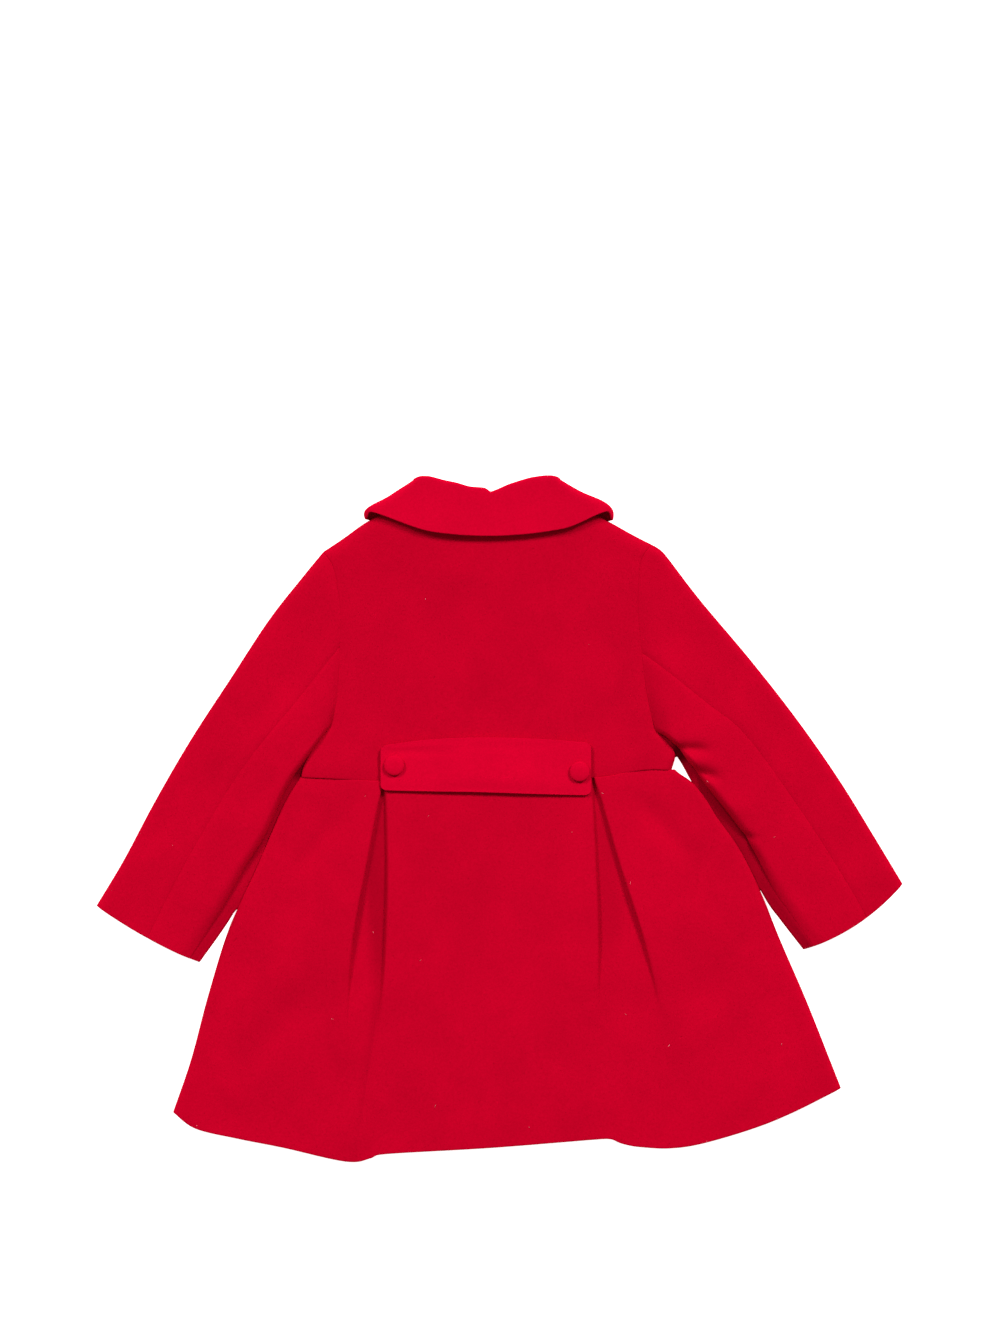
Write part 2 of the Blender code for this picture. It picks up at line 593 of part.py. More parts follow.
def pleat_path(start, side_turn, side_leg, centre_turn, centre_leg, width, mirrored):
    """Cross-section of one inverted pleat as (x, z) steps from the first panel to the second."""
    first = (side_turn, side_leg) if not mirrored else (centre_turn, centre_leg)
    second = (centre_turn, centre_leg) if not mirrored else (side_turn, side_leg)
    heading = 0.0
    x, z = start
    pts = [(x, z)]

    def turn(total):
        """Turn by an angle in degrees along a rounded fold."""
        nonlocal heading, x, z
        step = math.radians(total) / FOLD_STEPS
        run = 2.0 * fold_radius(abs(total)) * math.sin(abs(step) / 2.0)
        for _ in range(FOLD_STEPS):
            heading += step / 2.0
            x += run * math.cos(heading)
            z += run * math.sin(heading)
            heading += step / 2.0
            pts.append((x, z))

    def go(run, steps):
        """Walk straight on."""
        nonlocal x, z
        for _ in range(steps):
            x += run / steps * math.cos(heading)
            z += run / steps * math.sin(heading)
            pts.append((x, z))

    turn(-first[0])
    go(first[1], 1)
    turn(first[0])
    go(width, UNDERLAY_STEPS)
    turn(second[0])
    go(second[1], 1)
    turn(-second[0])
    return np.array(pts)


def pleat_depth(turn, leg):
    """How far below its panel a fold takes the cloth."""
    a = math.radians(turn)
    return 2.0 * fold_radius(turn) * (1.0 - math.cos(a)) + leg * math.sin(a)


def skirt_row(v, left_x, right_x):
    """Cross-section of the back skirt at the share v from waist to hem, as (x, z) points."""
    row = {}
    for name, table in (("left", PLEAT_LEFT), ("right", PLEAT_RIGHT)):
        row[name] = {key: float(np.interp(v, table["v"], table[key])) for key in table if key != "v"}
    centre_z = float(np.interp(v, SKIRT_HEIGHT["v"], SKIRT_HEIGHT["centre"]))
    seam_z = float(np.interp(v, SKIRT_HEIGHT["v"], SKIRT_HEIGHT["side"]))
    low = SKIRT_EDGE
    half = CLOTH * 0.5
    section = []
    for name in ("left", "right"):
        p = row[name]
        mirrored = name == "right"
        underlay_z = centre_z - pleat_depth(p["centre_turn"], p["centre_leg"])
        side_z = underlay_z + pleat_depth(p["side_turn"], p["side_leg"])
        reach_side = fold_reach(p["side_turn"]) + half
        reach_centre = fold_reach(p["centre_turn"]) + half
        sign = 1.0 if mirrored else -1.0
        side_end = p["side_x"] + sign * reach_side
        centre_end = p["centre_x"] - sign * reach_centre
        args = (p["side_turn"], p["side_leg"], p["centre_turn"], p["centre_leg"])
        start, stop = (centre_end, side_end) if mirrored else (side_end, centre_end)
        start_z = centre_z if mirrored else side_z
        loose = pleat_path((start, start_z), *args, 0.0, mirrored)
        width = stop - loose[-1, 0]
        pleat = pleat_path((start, start_z), *args, width, mirrored)
        edge = right_x if mirrored else left_x
        shares = crowded_start(SKIRT_STEPS["side"], SKIRT_SIDE_CROWD)
        xs = edge + (side_end - edge) * shares
        d = np.abs(xs - edge)
        ramp = seam_z + (side_z - seam_z) * ease(shares, *SIDE_RAMP)
        zs = low + (ramp - low) * rolled(d, SIDE_ROLL)
        panel = np.stack([xs, zs], axis=1)
        if mirrored:
            section.append(pleat)
            section.append(panel[::-1][1:])
        else:
            section.append(panel[:-1])
            section.append(pleat)
    left_end, right_start = section[1][-1], section[2][0]
    shares = even(SKIRT_STEPS["centre"])[1:-1]
    centre = left_end + (right_start - left_end) * shares[:, None]
    dip = float(np.interp(v, SKIRT_HEIGHT["v"], SKIRT_HEIGHT["dip"]))
    centre[:, 1] -= dip * ease(1.0 - np.abs(2.0 * shares - 1.0), 0.0, CENTRE_SETTLED)
    section.insert(2, centre)
    return np.vstack(section)


def build_back_skirt(collection):
    """Back skirt in one width: side panels, two inverted pleats and the centre panel between them."""
    waist, hem = curve(SKIRT_WAIST) - (0.0, WAIST_GAP * 0.5), curve(HEM)
    shares = even(SKIRT_STEPS["down"])
    left, right = at(curve(SKIRT_LEFT), shares), at(curve(SKIRT_RIGHT), shares)
    left[0], right[0] = waist[0], waist[-1]
    grid = []
    for j, v in enumerate(shares):
        section = skirt_row(v, left[j, 0], right[j, 0])
        s = (section[:, 0] - left[j, 0]) / (right[j, 0] - left[j, 0])
        waist_y = np.interp(s, (waist[:, 0] - waist[0, 0]) / (waist[-1, 0] - waist[0, 0]), waist[:, 1])
        hem_y = np.interp(s, (hem[:, 0] - hem[0, 0]) / (hem[-1, 0] - hem[0, 0]), hem[:, 1])
        edge_y = left[j, 1] + (right[j, 1] - left[j, 1]) * s
        waist_end = waist[0, 1] + (waist[-1, 1] - waist[0, 1]) * s
        hem_end = hem[0, 1] + (hem[-1, 1] - hem[0, 1]) * s
        ends = (1.0 - v) * waist_end + v * hem_end
        y = (1.0 - v) * waist_y + v * hem_y + edge_y - ends
        grid.append(np.stack([section[:, 0], y, section[:, 1]], axis=1))
    return wall("skirt_back", np.array(grid), collection, offset=0.0)


def belt_height(plan):
    """Underside of the belt: a seam's gap above the bodice and the skirt's top."""
    return np.interp(plan[..., 1], BELT_FLOOR["y"], BELT_FLOOR["z"]) + SEAM


def belt_shares(size, steps):
    """Shares along one side of the belt, crowded into the corners."""
    corner, near = size / BELT_CORNER, np.array(BELT_CORNER_STEPS)
    middle = np.linspace(1.0, corner - 1.0, steps)[1:-1]
    return np.concatenate([near, middle, corner - near[::-1]]) * BELT_CORNER / size


def build_belt(collection):
    """Half belt: a faced strip with turned corners, laid over the waist seam."""
    top, bottom = curve(BELT_TOP), curve(BELT_BOTTOM)
    length = BELT_TOP[-1][0] - BELT_TOP[0][0]
    height = BELT_TOP[2][1] - BELT_BOTTOM[2][1]
    s = belt_shares(length, BELT_STEPS["along"])
    t = belt_shares(height, BELT_STEPS["across"])
    px, py = np.meshgrid((s - 0.5) * length, (t - 0.5) * height)
    qx = np.maximum(np.abs(px) - (length / 2.0 - BELT_CORNER), 0.0)
    qy = np.maximum(np.abs(py) - (height / 2.0 - BELT_CORNER), 0.0)
    corner = np.hypot(qx, qy)
    shrink = np.where((qx > 0.0) & (qy > 0.0), np.maximum(qx, qy) / np.maximum(corner, 1e-9), 1.0)
    px = np.sign(px) * (np.abs(px) - qx + qx * shrink)
    py = np.sign(py) * (np.abs(py) - qy + qy * shrink)
    u, v = px / length + 0.5, py / height + 0.5
    shape = u.shape
    upper = at(top, u.ravel()).reshape(shape + (2,))
    lower = at(bottom, u.ravel()).reshape(shape + (2,))
    plan = upper + (lower - upper) * v[..., None]
    return wall("half_belt", with_height(plan, belt_height(plan) + BELT_CLOTH), collection,
                thickness=BELT_CLOTH, colour=BRIGHT_RED)


def build_button(name, x, y, collection):
    """Covered button: a domed disc turned round its own axis."""
    base = float(belt_height(np.array([[[x, y]]]))[0, 0]) + BELT_CLOTH + SEAM
    profile = [(BUTTON_RADIUS * r, z) for r, z in BUTTON_UNDER]
    rise = BUTTON_HEIGHT - BUTTON_SHOULDER
    for angle in np.linspace(*BUTTON_DOME, BUTTON_STEPS["dome"]):
        a = math.radians(angle)
        profile.append((BUTTON_RADIUS * math.cos(a), BUTTON_SHOULDER + rise * math.sin(a)))
    profile[-1] = (0.0, BUTTON_HEIGHT)
    bm = bmesh.new()
    verts = [bm.verts.new(((x + r) * MM, y * MM, (base + z) * MM)) for r, z in profile]
    edges = [bm.edges.new(pair) for pair in zip(verts[:-1], verts[1:])]
    bmesh.ops.spin(bm, geom=verts + edges, cent=(x * MM, y * MM, 0.0), axis=(0.0, 0.0, 1.0),
                   angle=math.tau, steps=BUTTON_STEPS["round"], use_merge=True)
    bmesh.ops.remove_doubles(bm, verts=bm.verts, dist=1e-6)
    bmesh.ops.recalc_face_normals(bm, faces=bm.faces)
    return add_object(name, bm, BRIGHT_RED, collection)


def main():
    """Clear the scene and build the coat's pieces."""
    for obj in list(bpy.data.objects):
        bpy.data.objects.remove(obj, do_unlink=True)
    collection = bpy.data.collections.new(COLLECTION)
    bpy.context.scene.collection.children.link(collection)
    build_back_bodice(collection)
    for side in ("left", "right"):
        build_front_bodice(side, collection)
        build_front_skirt(side, collection)
        build_sleeve(side, collection)
    build_collar(collection)
    build_back_skirt(collection)
    build_belt(collection)
    for name, x, y in BUTTONS:
        build_button(name, x, y, collection)


main()
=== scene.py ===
"""Looks of a child's pleated coat laid flat, face down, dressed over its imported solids."""
from __future__ import annotations

import logging
import math
from dataclasses import dataclass, field
from enum import Enum

import bmesh
import bpy
import numpy as np
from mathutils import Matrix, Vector

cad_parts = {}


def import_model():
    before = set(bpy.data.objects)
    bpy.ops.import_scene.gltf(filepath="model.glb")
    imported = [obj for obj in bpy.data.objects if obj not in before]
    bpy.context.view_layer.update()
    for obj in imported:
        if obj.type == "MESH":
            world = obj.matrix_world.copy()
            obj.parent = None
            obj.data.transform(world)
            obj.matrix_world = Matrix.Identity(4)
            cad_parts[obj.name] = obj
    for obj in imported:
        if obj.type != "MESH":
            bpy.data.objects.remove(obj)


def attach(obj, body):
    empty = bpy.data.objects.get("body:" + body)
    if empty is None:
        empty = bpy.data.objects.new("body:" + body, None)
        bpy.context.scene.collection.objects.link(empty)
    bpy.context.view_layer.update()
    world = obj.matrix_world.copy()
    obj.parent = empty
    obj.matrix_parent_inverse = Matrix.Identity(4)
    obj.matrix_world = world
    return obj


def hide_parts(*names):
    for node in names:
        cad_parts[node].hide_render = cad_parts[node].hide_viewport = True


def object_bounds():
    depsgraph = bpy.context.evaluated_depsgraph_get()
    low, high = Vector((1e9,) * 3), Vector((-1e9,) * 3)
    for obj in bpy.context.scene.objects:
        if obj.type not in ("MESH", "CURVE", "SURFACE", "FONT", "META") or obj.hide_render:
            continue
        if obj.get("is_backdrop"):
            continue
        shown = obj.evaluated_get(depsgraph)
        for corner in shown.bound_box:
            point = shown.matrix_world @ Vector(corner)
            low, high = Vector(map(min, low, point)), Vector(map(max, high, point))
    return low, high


LOG = logging.getLogger("pleated_coat")
Array = np.ndarray
Table = tuple[tuple[float, float], ...]
Span = tuple[float, float]
Stretch = tuple[float, float, float, float]
Colour = tuple[float, float, float]

BODY = "root"
# Point attribute that holds the shade painted inside folds.
FOLD_SHADE_ATTRIBUTE = "painted_fold_shade"
SHADER = "Principled BSDF"
WHITE = (1.0, 1.0, 1.0, 1.0)
TINY = 1e-9
RIGHT_ANGLE, HALF_TURN = 90.0, 180.0

# Lengths are in millimetres up to the meshes, which are in metres.
MM = 0.001
CLOTH = 1.8
BELT = 2.6
SEAM = 0.3
LAYER = CLOTH + SEAM
# How far the fronts lap past the centre front, and where the upper one climbs on to the lower one.
LAP_HALF = 25.0
LAP_EASE = 5.0
LAP_RAMP = 26.0
# A seam draws the cloth down by this much, up to this far from it.
SEAM_DIP = 0.8
SEAM_DIP_WIDTH = 8.0
# How close the row that keeps an edge firm lies to it.
EDGE_KEEP = 0.7
# Rows of the waist's and the hem's tables at the middle of the back.
WAIST_MIDDLE, HEM_MIDDLE = 3, 7
# Top of the bodice and the skirt under the belt, from its lower edge to its upper edge.
BELT_FLOOR_Y = (17.0, 28.0, 62.0)
BELT_FLOOR_Z = (8.75, 8.6, 8.2)
# Shares of a fold's length over which it rises and fades.
FOLD_START, FOLD_END = (-0.25, 0.35), (0.65, 1.25)
# Way across, way along, pace and lateness of each wave in relaxed cloth.
SWELL_WAVES = ((0.83, 0.41, 1.0, 1.0), (0.52, -0.94, 1.37, 2.1), (-0.27, 1.13, 0.71, 0.7))


class Side(Enum):
    """The two hands of the coat, as seen from above."""

    LEFT = "left"
    RIGHT = "right"

    @property
    def sign(self) -> float:
        """Direction of the side along X."""
        return -1.0 if self is Side.LEFT else 1.0


class Facing(Enum):
    """The way a panel's outer face looks."""

    UP = 1
    DOWN = -1


@dataclass(frozen=True)
class Fold:
    """A soft trough (negative height) or ridge between two points of a panel, in millimetres."""

    start: tuple[float, float]
    end: tuple[float, float]
    width: float
    height: float


def ease(x: Array | float, low: float, high: float) -> Array:
    """Smooth step.

    Args:
        x: Where it is read.
        low: Where it is 0.
        high: Where it is 1.

    Returns:
        Values from 0 to 1.
    """
    t = np.clip((np.asarray(x, dtype=float) - low) / (high - low), 0.0, 1.0)
    return t * t * (3.0 - 2.0 * t)


def curve(table: Table, steps: int = 24) -> Array:
    """Smooth line through a table's points.

    Args:
        table: Points the line passes through.
        steps: Points made for each stretch.

    Returns:
        The line's points.
    """
    pts = np.array(table, dtype=float)
    ends = np.vstack([2.0 * pts[0] - pts[1], pts, 2.0 * pts[-1] - pts[-2]])
    out = []
    for k in range(len(pts) - 1):
        a, b, c, d = ends[k:k + 4]
        for t in np.linspace(0.0, 1.0, steps, endpoint=False):
            out.append(0.5 * (2.0 * b + (c - a) * t + (2.0 * a - 5.0 * b + 4.0 * c - d) * t ** 2
                              + (3.0 * b - a - 3.0 * c + d) * t ** 3))
    out.append(pts[-1])
    return np.array(out)


def run_of(line: Array) -> Array:
    """Share of a line's length at each of its points."""
    run = np.concatenate([[0.0], np.cumsum(np.linalg.norm(np.diff(line, axis=0), axis=1))])
    return run / run[-1]


def at(line: Array, shares: Array) -> Array:
    """Points on a line.

    Args:
        line: The line's points.
        shares: Shares of its length.

    Returns:
        One point for each share.
    """
    run = run_of(line)
    return np.stack([np.interp(shares, run, line[:, k]) for k in range(line.shape[1])], axis=1)


def chain(*parts: tuple[Array, Array]) -> Array:
    """Sampled lines joined end to end.

    Args:
        parts: Pairs of a line and the shares it is sampled at.

    Returns:
        The joined points.
    """
    rows = [at(line, shares) for line, shares in parts]
    return np.vstack([rows[0]] + [row[1:] for row in rows[1:]])


def even(count: int) -> Array:
    """Evenly spaced shares."""
    return np.linspace(0.0, 1.0, count + 1)


def crowded(count: int) -> Array:
    """Shares crowded towards both ends."""
    return 0.5 - 0.5 * np.cos(np.pi * even(count))


def leaning(count: int, power: float) -> Array:
    """Shares crowded towards the start."""
    return even(count) ** power


def distance(points: Array, line: Array) -> Array:
    """Distance from each plan point to a line.

    Args:
        points: Plan points, any grid of (x, y).
        line: The line's points.

    Returns:
        A distance for each point.
    """
    flat = points.reshape(-1, 2)
    best = np.full(len(flat), np.inf)
    for a, b in zip(line[:-1], line[1:]):
        ab = b - a
        t = np.clip((flat - a) @ ab / max(float(ab @ ab), TINY), 0.0, 1.0)
        best = np.minimum(best, np.linalg.norm(flat - a - t[:, None] * ab, axis=1))
    return best.reshape(points.shape[:-1])


def rolled(d: Array, width: float) -> Array:
    """Rounded fall of a panel to its edge: 0 at the edge, 1 from the width inwards."""
    t = 1.0 - np.clip(d / width, 0.0, 1.0)
    return np.sqrt(np.maximum(1.0 - t * t, 0.0))


def patch(top: Array, bottom: Array, left: Array, right: Array) -> Array:
    """Plan points filling four edges.

    Args:
        top: Upper edge, left to right.
        bottom: Lower edge, left to right.
        left: Left edge, top to bottom.
        right: Right edge, top to bottom.

    Returns:
        A grid of points, rows from top to bottom.
    """
    u = (0.5 * (run_of(top) + run_of(bottom)))[None, :, None]
    v = (0.5 * (run_of(left) + run_of(right)))[:, None, None]
    across = (1.0 - u) * left[:, None, :] + u * right[:, None, :]
    down = (1.0 - v) * top[None] + v * bottom[None]
    corners = ((1.0 - u) * (1.0 - v) * top[0] + u * (1.0 - v) * top[-1]
               + (1.0 - u) * v * bottom[0] + u * v * bottom[-1])
    return across + down - corners


def edged(grid: Array, keep: float) -> Array:
    """Grid with a close row and column inside each edge, which keeps the edge firm when it is smoothed.

    Args:
        grid: Points of a panel.
        keep: Distance of the new points from the edge.

    Returns:
        The grid with two more rows and columns.
    """
    for axis in (0, 1):
        rows = np.moveaxis(grid, axis, 0)
        added = []
        for outer, inner in ((rows[0], rows[1]), (rows[-1], rows[-2])):
            step = inner - outer
            size = np.maximum(np.linalg.norm(step, axis=-1, keepdims=True), TINY)
            added.append(outer + step * np.minimum(0.5, keep / size))
        rows = np.concatenate([rows[:1], added[0][None], rows[1:-1], added[1][None], rows[-1:]])
        grid = np.moveaxis(rows, 0, axis)
    return grid


def lifted(plan: Array, z: Array) -> Array:
    """Plan points with their heights."""
    return np.concatenate([plan, z[..., None]], axis=-1)


def folded(plan: Array, folds: tuple[Fold, ...]) -> Array:
    """Height that a panel's folds add.

    Args:
        plan: Plan points.
        folds: The folds to add.

    Returns:
        A height for each point.
    """
    total = np.zeros(plan.shape[:-1])
    for fold in folds:
        a, b = np.array(fold.start), np.array(fold.end)
        along = b - a
        length = float(np.linalg.norm(along))
        t = (plan - a) @ along / length ** 2
        off = (plan - a) @ np.array([-along[1], along[0]]) / length
        taper = ease(t, *FOLD_START) * (1.0 - ease(t, *FOLD_END))
        total += fold.height * taper * np.exp(-(off / fold.width) ** 2)
    return total


def swell(plan: Array, size: float, amount: float, phase: float) -> Array:
    """Slow, uneven rise and fall of relaxed cloth.

    Args:
        plan: Plan points.
        size: Typical distance from crest to crest.
        amount: Typical height.
        phase: Sets one panel apart from the next.

    Returns:
        A height for each point.
    """
    x, y = plan[..., 0], plan[..., 1]
    k = math.tau / size
    waves = sum(np.sin(k * (a * x + b * y) * pace + late * phase) for a, b, pace, late in SWELL_WAVES)
    return amount / len(SWELL_WAVES) * waves


def feed(node: bpy.types.Node, inputs: dict[str | int, object]) -> None:
    """Give a node's inputs their wires or their fixed values.

    Args:
        node: The node.
        inputs: For each input, the socket that feeds it or its value.
    """
    for key, value in inputs.items():
        if isinstance(value, bpy.types.NodeSocket):
            node.id_data.links.new(value, node.inputs[key])
        else:
            node.inputs[key].default_value = value


def add_node(
    tree: bpy.types.NodeTree, kind: str, inputs: dict[str | int, object] | None = None, **settings: str,
) -> bpy.types.Node:
    """Add a node to a tree.

    Args:
        tree: The tree.
        kind: The node's type.
        inputs: For each input, the socket that feeds it or its value.
        settings: The node's own settings, such as its operation.

    Returns:
        The new node.
    """
    node = tree.nodes.new(kind)
    for name, value in settings.items():
        setattr(node, name, value)
    feed(node, inputs or {})
    return node


def shaded(name: str, inputs: dict[str | int, object]) -> bpy.types.Material:
    """Node material with some of its shader's inputs set.

    Args:
        name: The material's name.
        inputs: The shader's inputs and their values.

    Returns:
        The new material.
    """
    mat = bpy.data.materials.new(name)
    mat.use_nodes = True
    feed(mat.node_tree.nodes[SHADER], inputs)
    return mat


def in_scene(name: str, data: bpy.types.ID) -> bpy.types.Object:
    """New object in the scene.

    Args:
        name: The object's name.
        data: Its mesh, lamp or camera.

    Returns:
        The object, at the origin.
    """
    thing = bpy.data.objects.new(name, data)
    bpy.context.scene.collection.objects.link(thing)
    return thing


def smooth(mesh: bpy.types.Mesh) -> None:
    """Shade every face of a mesh smooth."""
    mesh.polygons.foreach_set("use_smooth", [True] * len(mesh.polygons))


@dataclass(frozen=True)
class Grain:
    """A noise in the wool: its scale, how many finer layers it has and how strong they are."""

    scale: float
    detail: float
    roughness: float


@dataclass(frozen=True)
class WoolFinish:
    """Felted wool: shade painted into the cloth inside the folds, a soft grain of matted fibre and a short nap."""

    name: str
    colour: Colour
    depth: Colour
    roughness: float = 0.95
    gloss: float = 0.01
    sheen: float = 0.12
    sheen_roughness: float = 0.5
    sheen_tint: Colour = (0.85, 0.001, 0.03)
    grain: Grain = Grain(620.0, 4.0, 0.62)
    grain_weight: float = 0.62
    fibre: Grain = Grain(1900.0, 3.0, 0.7)
    fibre_weight: float = 0.38
    mottle: Grain = Grain(26.0, 3.0, 0.55)
    distortion: float = 0.35
    dye_range: Span = (0.3, 0.62)
    mottle_range: Span = (0.3, 0.7)
    mottle_tone: Span = (0.94, 1.05)
    # How far the shade painted inside folds darkens the wool.
    inner: float = 0.32
    bump: float = 0.34
    bump_depth: float = 0.0005

    def noise(self, place: bpy.types.Node, grain: Grain) -> bpy.types.NodeSocket:
        """Value of one of the wool's noises.

        Args:
            place: The node that gives the places on the cloth.
            grain: The noise's sizes.

        Returns:
            The socket that holds it.
        """
        return add_node(place.id_data, "ShaderNodeTexNoise", {
            "Vector": place.outputs["Object"], "Scale": grain.scale, "Detail": grain.detail,
            "Roughness": grain.roughness, "Distortion": self.distortion,
        }).outputs["Fac"]

    def material(self) -> bpy.types.Material:
        """Node material of the wool.

        Returns:
            The new material.
        """
        mat = shaded(self.name, {
            "Roughness": self.roughness, "Specular IOR Level": self.gloss, "Sheen Weight": self.sheen,
            "Sheen Roughness": self.sheen_roughness, "Sheen Tint": (*self.sheen_tint, 1.0),
        })
        tree = mat.node_tree
        place = add_node(tree, "ShaderNodeTexCoord")
        fine = add_node(tree, "ShaderNodeMath", {
            0: self.noise(place, self.fibre), 1: self.fibre_weight,
        }, operation="MULTIPLY")
        matted = add_node(tree, "ShaderNodeMath", {
            0: self.noise(place, self.grain), 1: self.grain_weight, 2: fine.outputs["Value"],
        }, operation="MULTIPLY_ADD")
        tone = add_node(tree, "ShaderNodeMapRange", {
            "Value": matted.outputs["Value"], "From Min": self.dye_range[0], "From Max": self.dye_range[1],
        })
        dye = add_node(tree, "ShaderNodeMix", {
            "Factor": tone.outputs["Result"], "A": (*self.depth, 1.0), "B": (*self.colour, 1.0),
        }, data_type="RGBA")
        patches = add_node(tree, "ShaderNodeMapRange", {
            "Value": self.noise(place, self.mottle),
            "From Min": self.mottle_range[0], "From Max": self.mottle_range[1],
            "To Min": self.mottle_tone[0], "To Max": self.mottle_tone[1],
        })
        # Painted shade: the point attribute darkens the colour inside folds, creases and the underarm pit.
        inside = add_node(tree, "ShaderNodeAttribute", attribute_name=FOLD_SHADE_ATTRIBUTE)
        shade_factor = add_node(tree, "ShaderNodeMath", {
            0: inside.outputs["Fac"], 1: -self.inner, 2: 1.0,
        }, operation="MULTIPLY_ADD")
        both = add_node(tree, "ShaderNodeMath", {
            0: patches.outputs["Result"], 1: shade_factor.outputs["Value"],
        }, operation="MULTIPLY")
        shade = add_node(tree, "ShaderNodeVectorMath", operation="SCALE", inputs={
            0: dye.outputs["Result"], "Scale": both.outputs["Value"],
        })
        bump = add_node(tree, "ShaderNodeBump", {
            "Height": matted.outputs["Value"], "Strength": self.bump, "Distance": self.bump_depth,
        })
        feed(tree.nodes[SHADER], {"Base Color": shade.outputs["Vector"], "Normal": bump.outputs["Normal"]})
        return mat


@dataclass(frozen=True)
class FloorFinish:
    """Plain pale table, lit a little from within, that the coat lies on."""

    name: str = "pale_floor"
    colour: Colour = (0.93, 0.93, 0.93)
    roughness: float = 0.9
    gloss: float = 0.05
    glow: float = 0.9

    def material(self) -> bpy.types.Material:
        """Node material of the floor."""
        return shaded(self.name, {
            "Base Color": (*self.colour, 1.0), "Roughness": self.roughness, "Specular IOR Level": self.gloss,
            "Emission Color": WHITE, "Emission Strength": self.glow,
        })


COAT_WOOL = WoolFinish("coat_wool", (0.500, 0.0003, 0.0178), (0.408, 0.0002, 0.0126))
# The collar's and the belt's wool are the coat's wool made lighter.
COLLAR_WOOL = WoolFinish("collar_wool", (0.545, 0.0003, 0.0208), (0.450, 0.0002, 0.0150))
BELT_WOOL = WoolFinish("belt_wool", (0.590, 0.0003, 0.0225), (0.490, 0.0002, 0.0165))


@dataclass(frozen=True)
class CoatLines:
    """Seam and edge lines of the laid coat, (x, y) in millimetres from one end to the other."""

    shoulder_left: Table = ((-132.4, 199.9), (-116.6, 210.3), (-100.9, 221.6), (-85.9, 229.6), (-71.6, 236.6))
    shoulder_right: Table = ((114.4, 205.4), (100.4, 212.4), (85.1, 220.9), (69.4, 229.2), (54.4, 237.0))
    armhole_left: Table = (
        (-132.4, 199.9), (-124.8, 189.0), (-121.0, 170.0), (-119.0, 152.1), (-119.9, 128.2), (-121.1, 104.3),
        (-122.9, 86.3), (-127.1, 69.4),
    )
    armhole_right: Table = (
        (114.4, 205.4), (106.4, 193.5), (103.9, 168.0), (104.6, 146.1), (106.7, 125.8), (110.0, 98.3),
        (113.6, 80.3), (117.4, 65.6),
    )
    side_left: Table = ((-127.1, 69.4), (-135.4, 58.6), (-142.6, 47.5), (-147.8, 37.0), (-148.1, 31.1))
    side_right: Table = ((117.4, 65.6), (125.4, 57.4), (131.2, 50.4), (131.6, 44.6), (128.8, 36.4))
    waist: Table = (
        (-148.1, 31.1), (-119.6, 29.8), (-86.6, 28.3), (-7.1, 28.6), (69.4, 30.8), (94.6, 34.6),
        (112.0, 36.9), (128.8, 36.4),
    )
    skirt_end: tuple[float, float] = (130.6, 35.8)
    skirt_left: Table = (
        (-148.1, 31.1), (-155.0, 21.0), (-162.6, 7.0), (-172.8, -17.0), (-183.3, -41.4), (-193.8, -63.6),
        (-205.1, -91.1), (-218.6, -136.1), (-230.6, -181.1), (-244.1, -220.1),
    )
    skirt_right: Table = (
        (130.6, 35.8), (134.5, 32.6), (144.5, 25.9), (154.5, 13.4), (162.0, 1.0), (175.7, -17.8),
        (184.5, -32.8), (196.6, -58.8), (209.6, -91.1), (229.1, -136.1), (247.1, -181.1), (255.4, -202.1),
    )
    hem: Table = (
        (-244.1, -220.1), (-227.6, -232.1), (-196.1, -239.6), (-161.6, -246.4), (-114.4, -256.9),
        (-95.6, -253.9), (-84.4, -250.9), (-7.1, -246.4), (67.9, -240.4), (83.6, -239.9),
        (89.0, -242.4), (97.0, -244.6), (105.4, -245.8), (126.4, -246.8), (150.4, -243.4),
        (189.4, -232.1), (219.4, -220.1), (255.4, -202.1),
    )
    waist_gap: float = -0.6
    back_neck: float = 19.5
    front_neck: float = 40.0
    centre_y: tuple[float, float, float] = (-260.0, 30.0, 260.0)
    centre_x: tuple[float, float, float] = (5.0, -7.0, -8.6)
    tucks_left: tuple[Stretch, ...] = ((-71.0, -58.0, 58.0, 70.0),)
    tucks_right: tuple[Stretch, ...] = ((-55.0, -45.0, 19.0, 26.0), (45.5, 50.0, 58.0, 66.0))
    leaf_left: Span = (-118.0, -104.0)
    leaf_right: Span = (-102.0, -88.0)
    leaf_low: Span = (140.0, 160.0)

    def line(self, name: str, side: Side | None = None) -> Array:
        """Smooth line of a name, with the side where it has one."""
        return curve(getattr(self, name if side is None else f"{name}_{side.value}"))

    def skirt_waist(self) -> Array:
        """Waist seam along the skirt's own edge."""
        return curve(self.waist + (self.skirt_end,)) - (0.0, 0.5 * self.waist_gap)

    def bodice_waist(self) -> Array:
        """Waist seam along the bodice's own edge."""
        return curve(self.waist) + (0.0, 0.5 * self.waist_gap)

    def neck(self, drop: float, count: int) -> Array:
        """Neck seam from the left neck point to the right one.

        Args:
            drop: How far it scoops below the neck points.
            count: Number of stretches.

        Returns:
            The seam's points.
        """
        s = np.linspace(-1.0, 1.0, count + 1)
        a, b = np.array(self.shoulder_left[-1]), np.array(self.shoulder_right[-1])
        line = a + (b - a) * ((s + 1.0) / 2.0)[:, None]
        line[:, 1] -= drop * (1.0 - s ** 2)
        return line

    def centre_front(self, y: Array | float) -> Array:
        """X of the centre front at a height on the coat."""
        return np.interp(y, self.centre_y, self.centre_x)

    def tuck(self, side: Side, y: Array | float) -> Array:
        """Share by which a sleeve's band slips under the body's side edge.

        Args:
            side: The sleeve's hand.
            y: Heights on the coat.

        Returns:
            Shares from 0 to 1.
        """
        y = np.asarray(y, dtype=float)
        stretches = self.tucks_left if side is Side.LEFT else self.tucks_right
        return sum(ease(y, a, b) * (1.0 - ease(y, c, d)) for a, b, c, d in stretches)

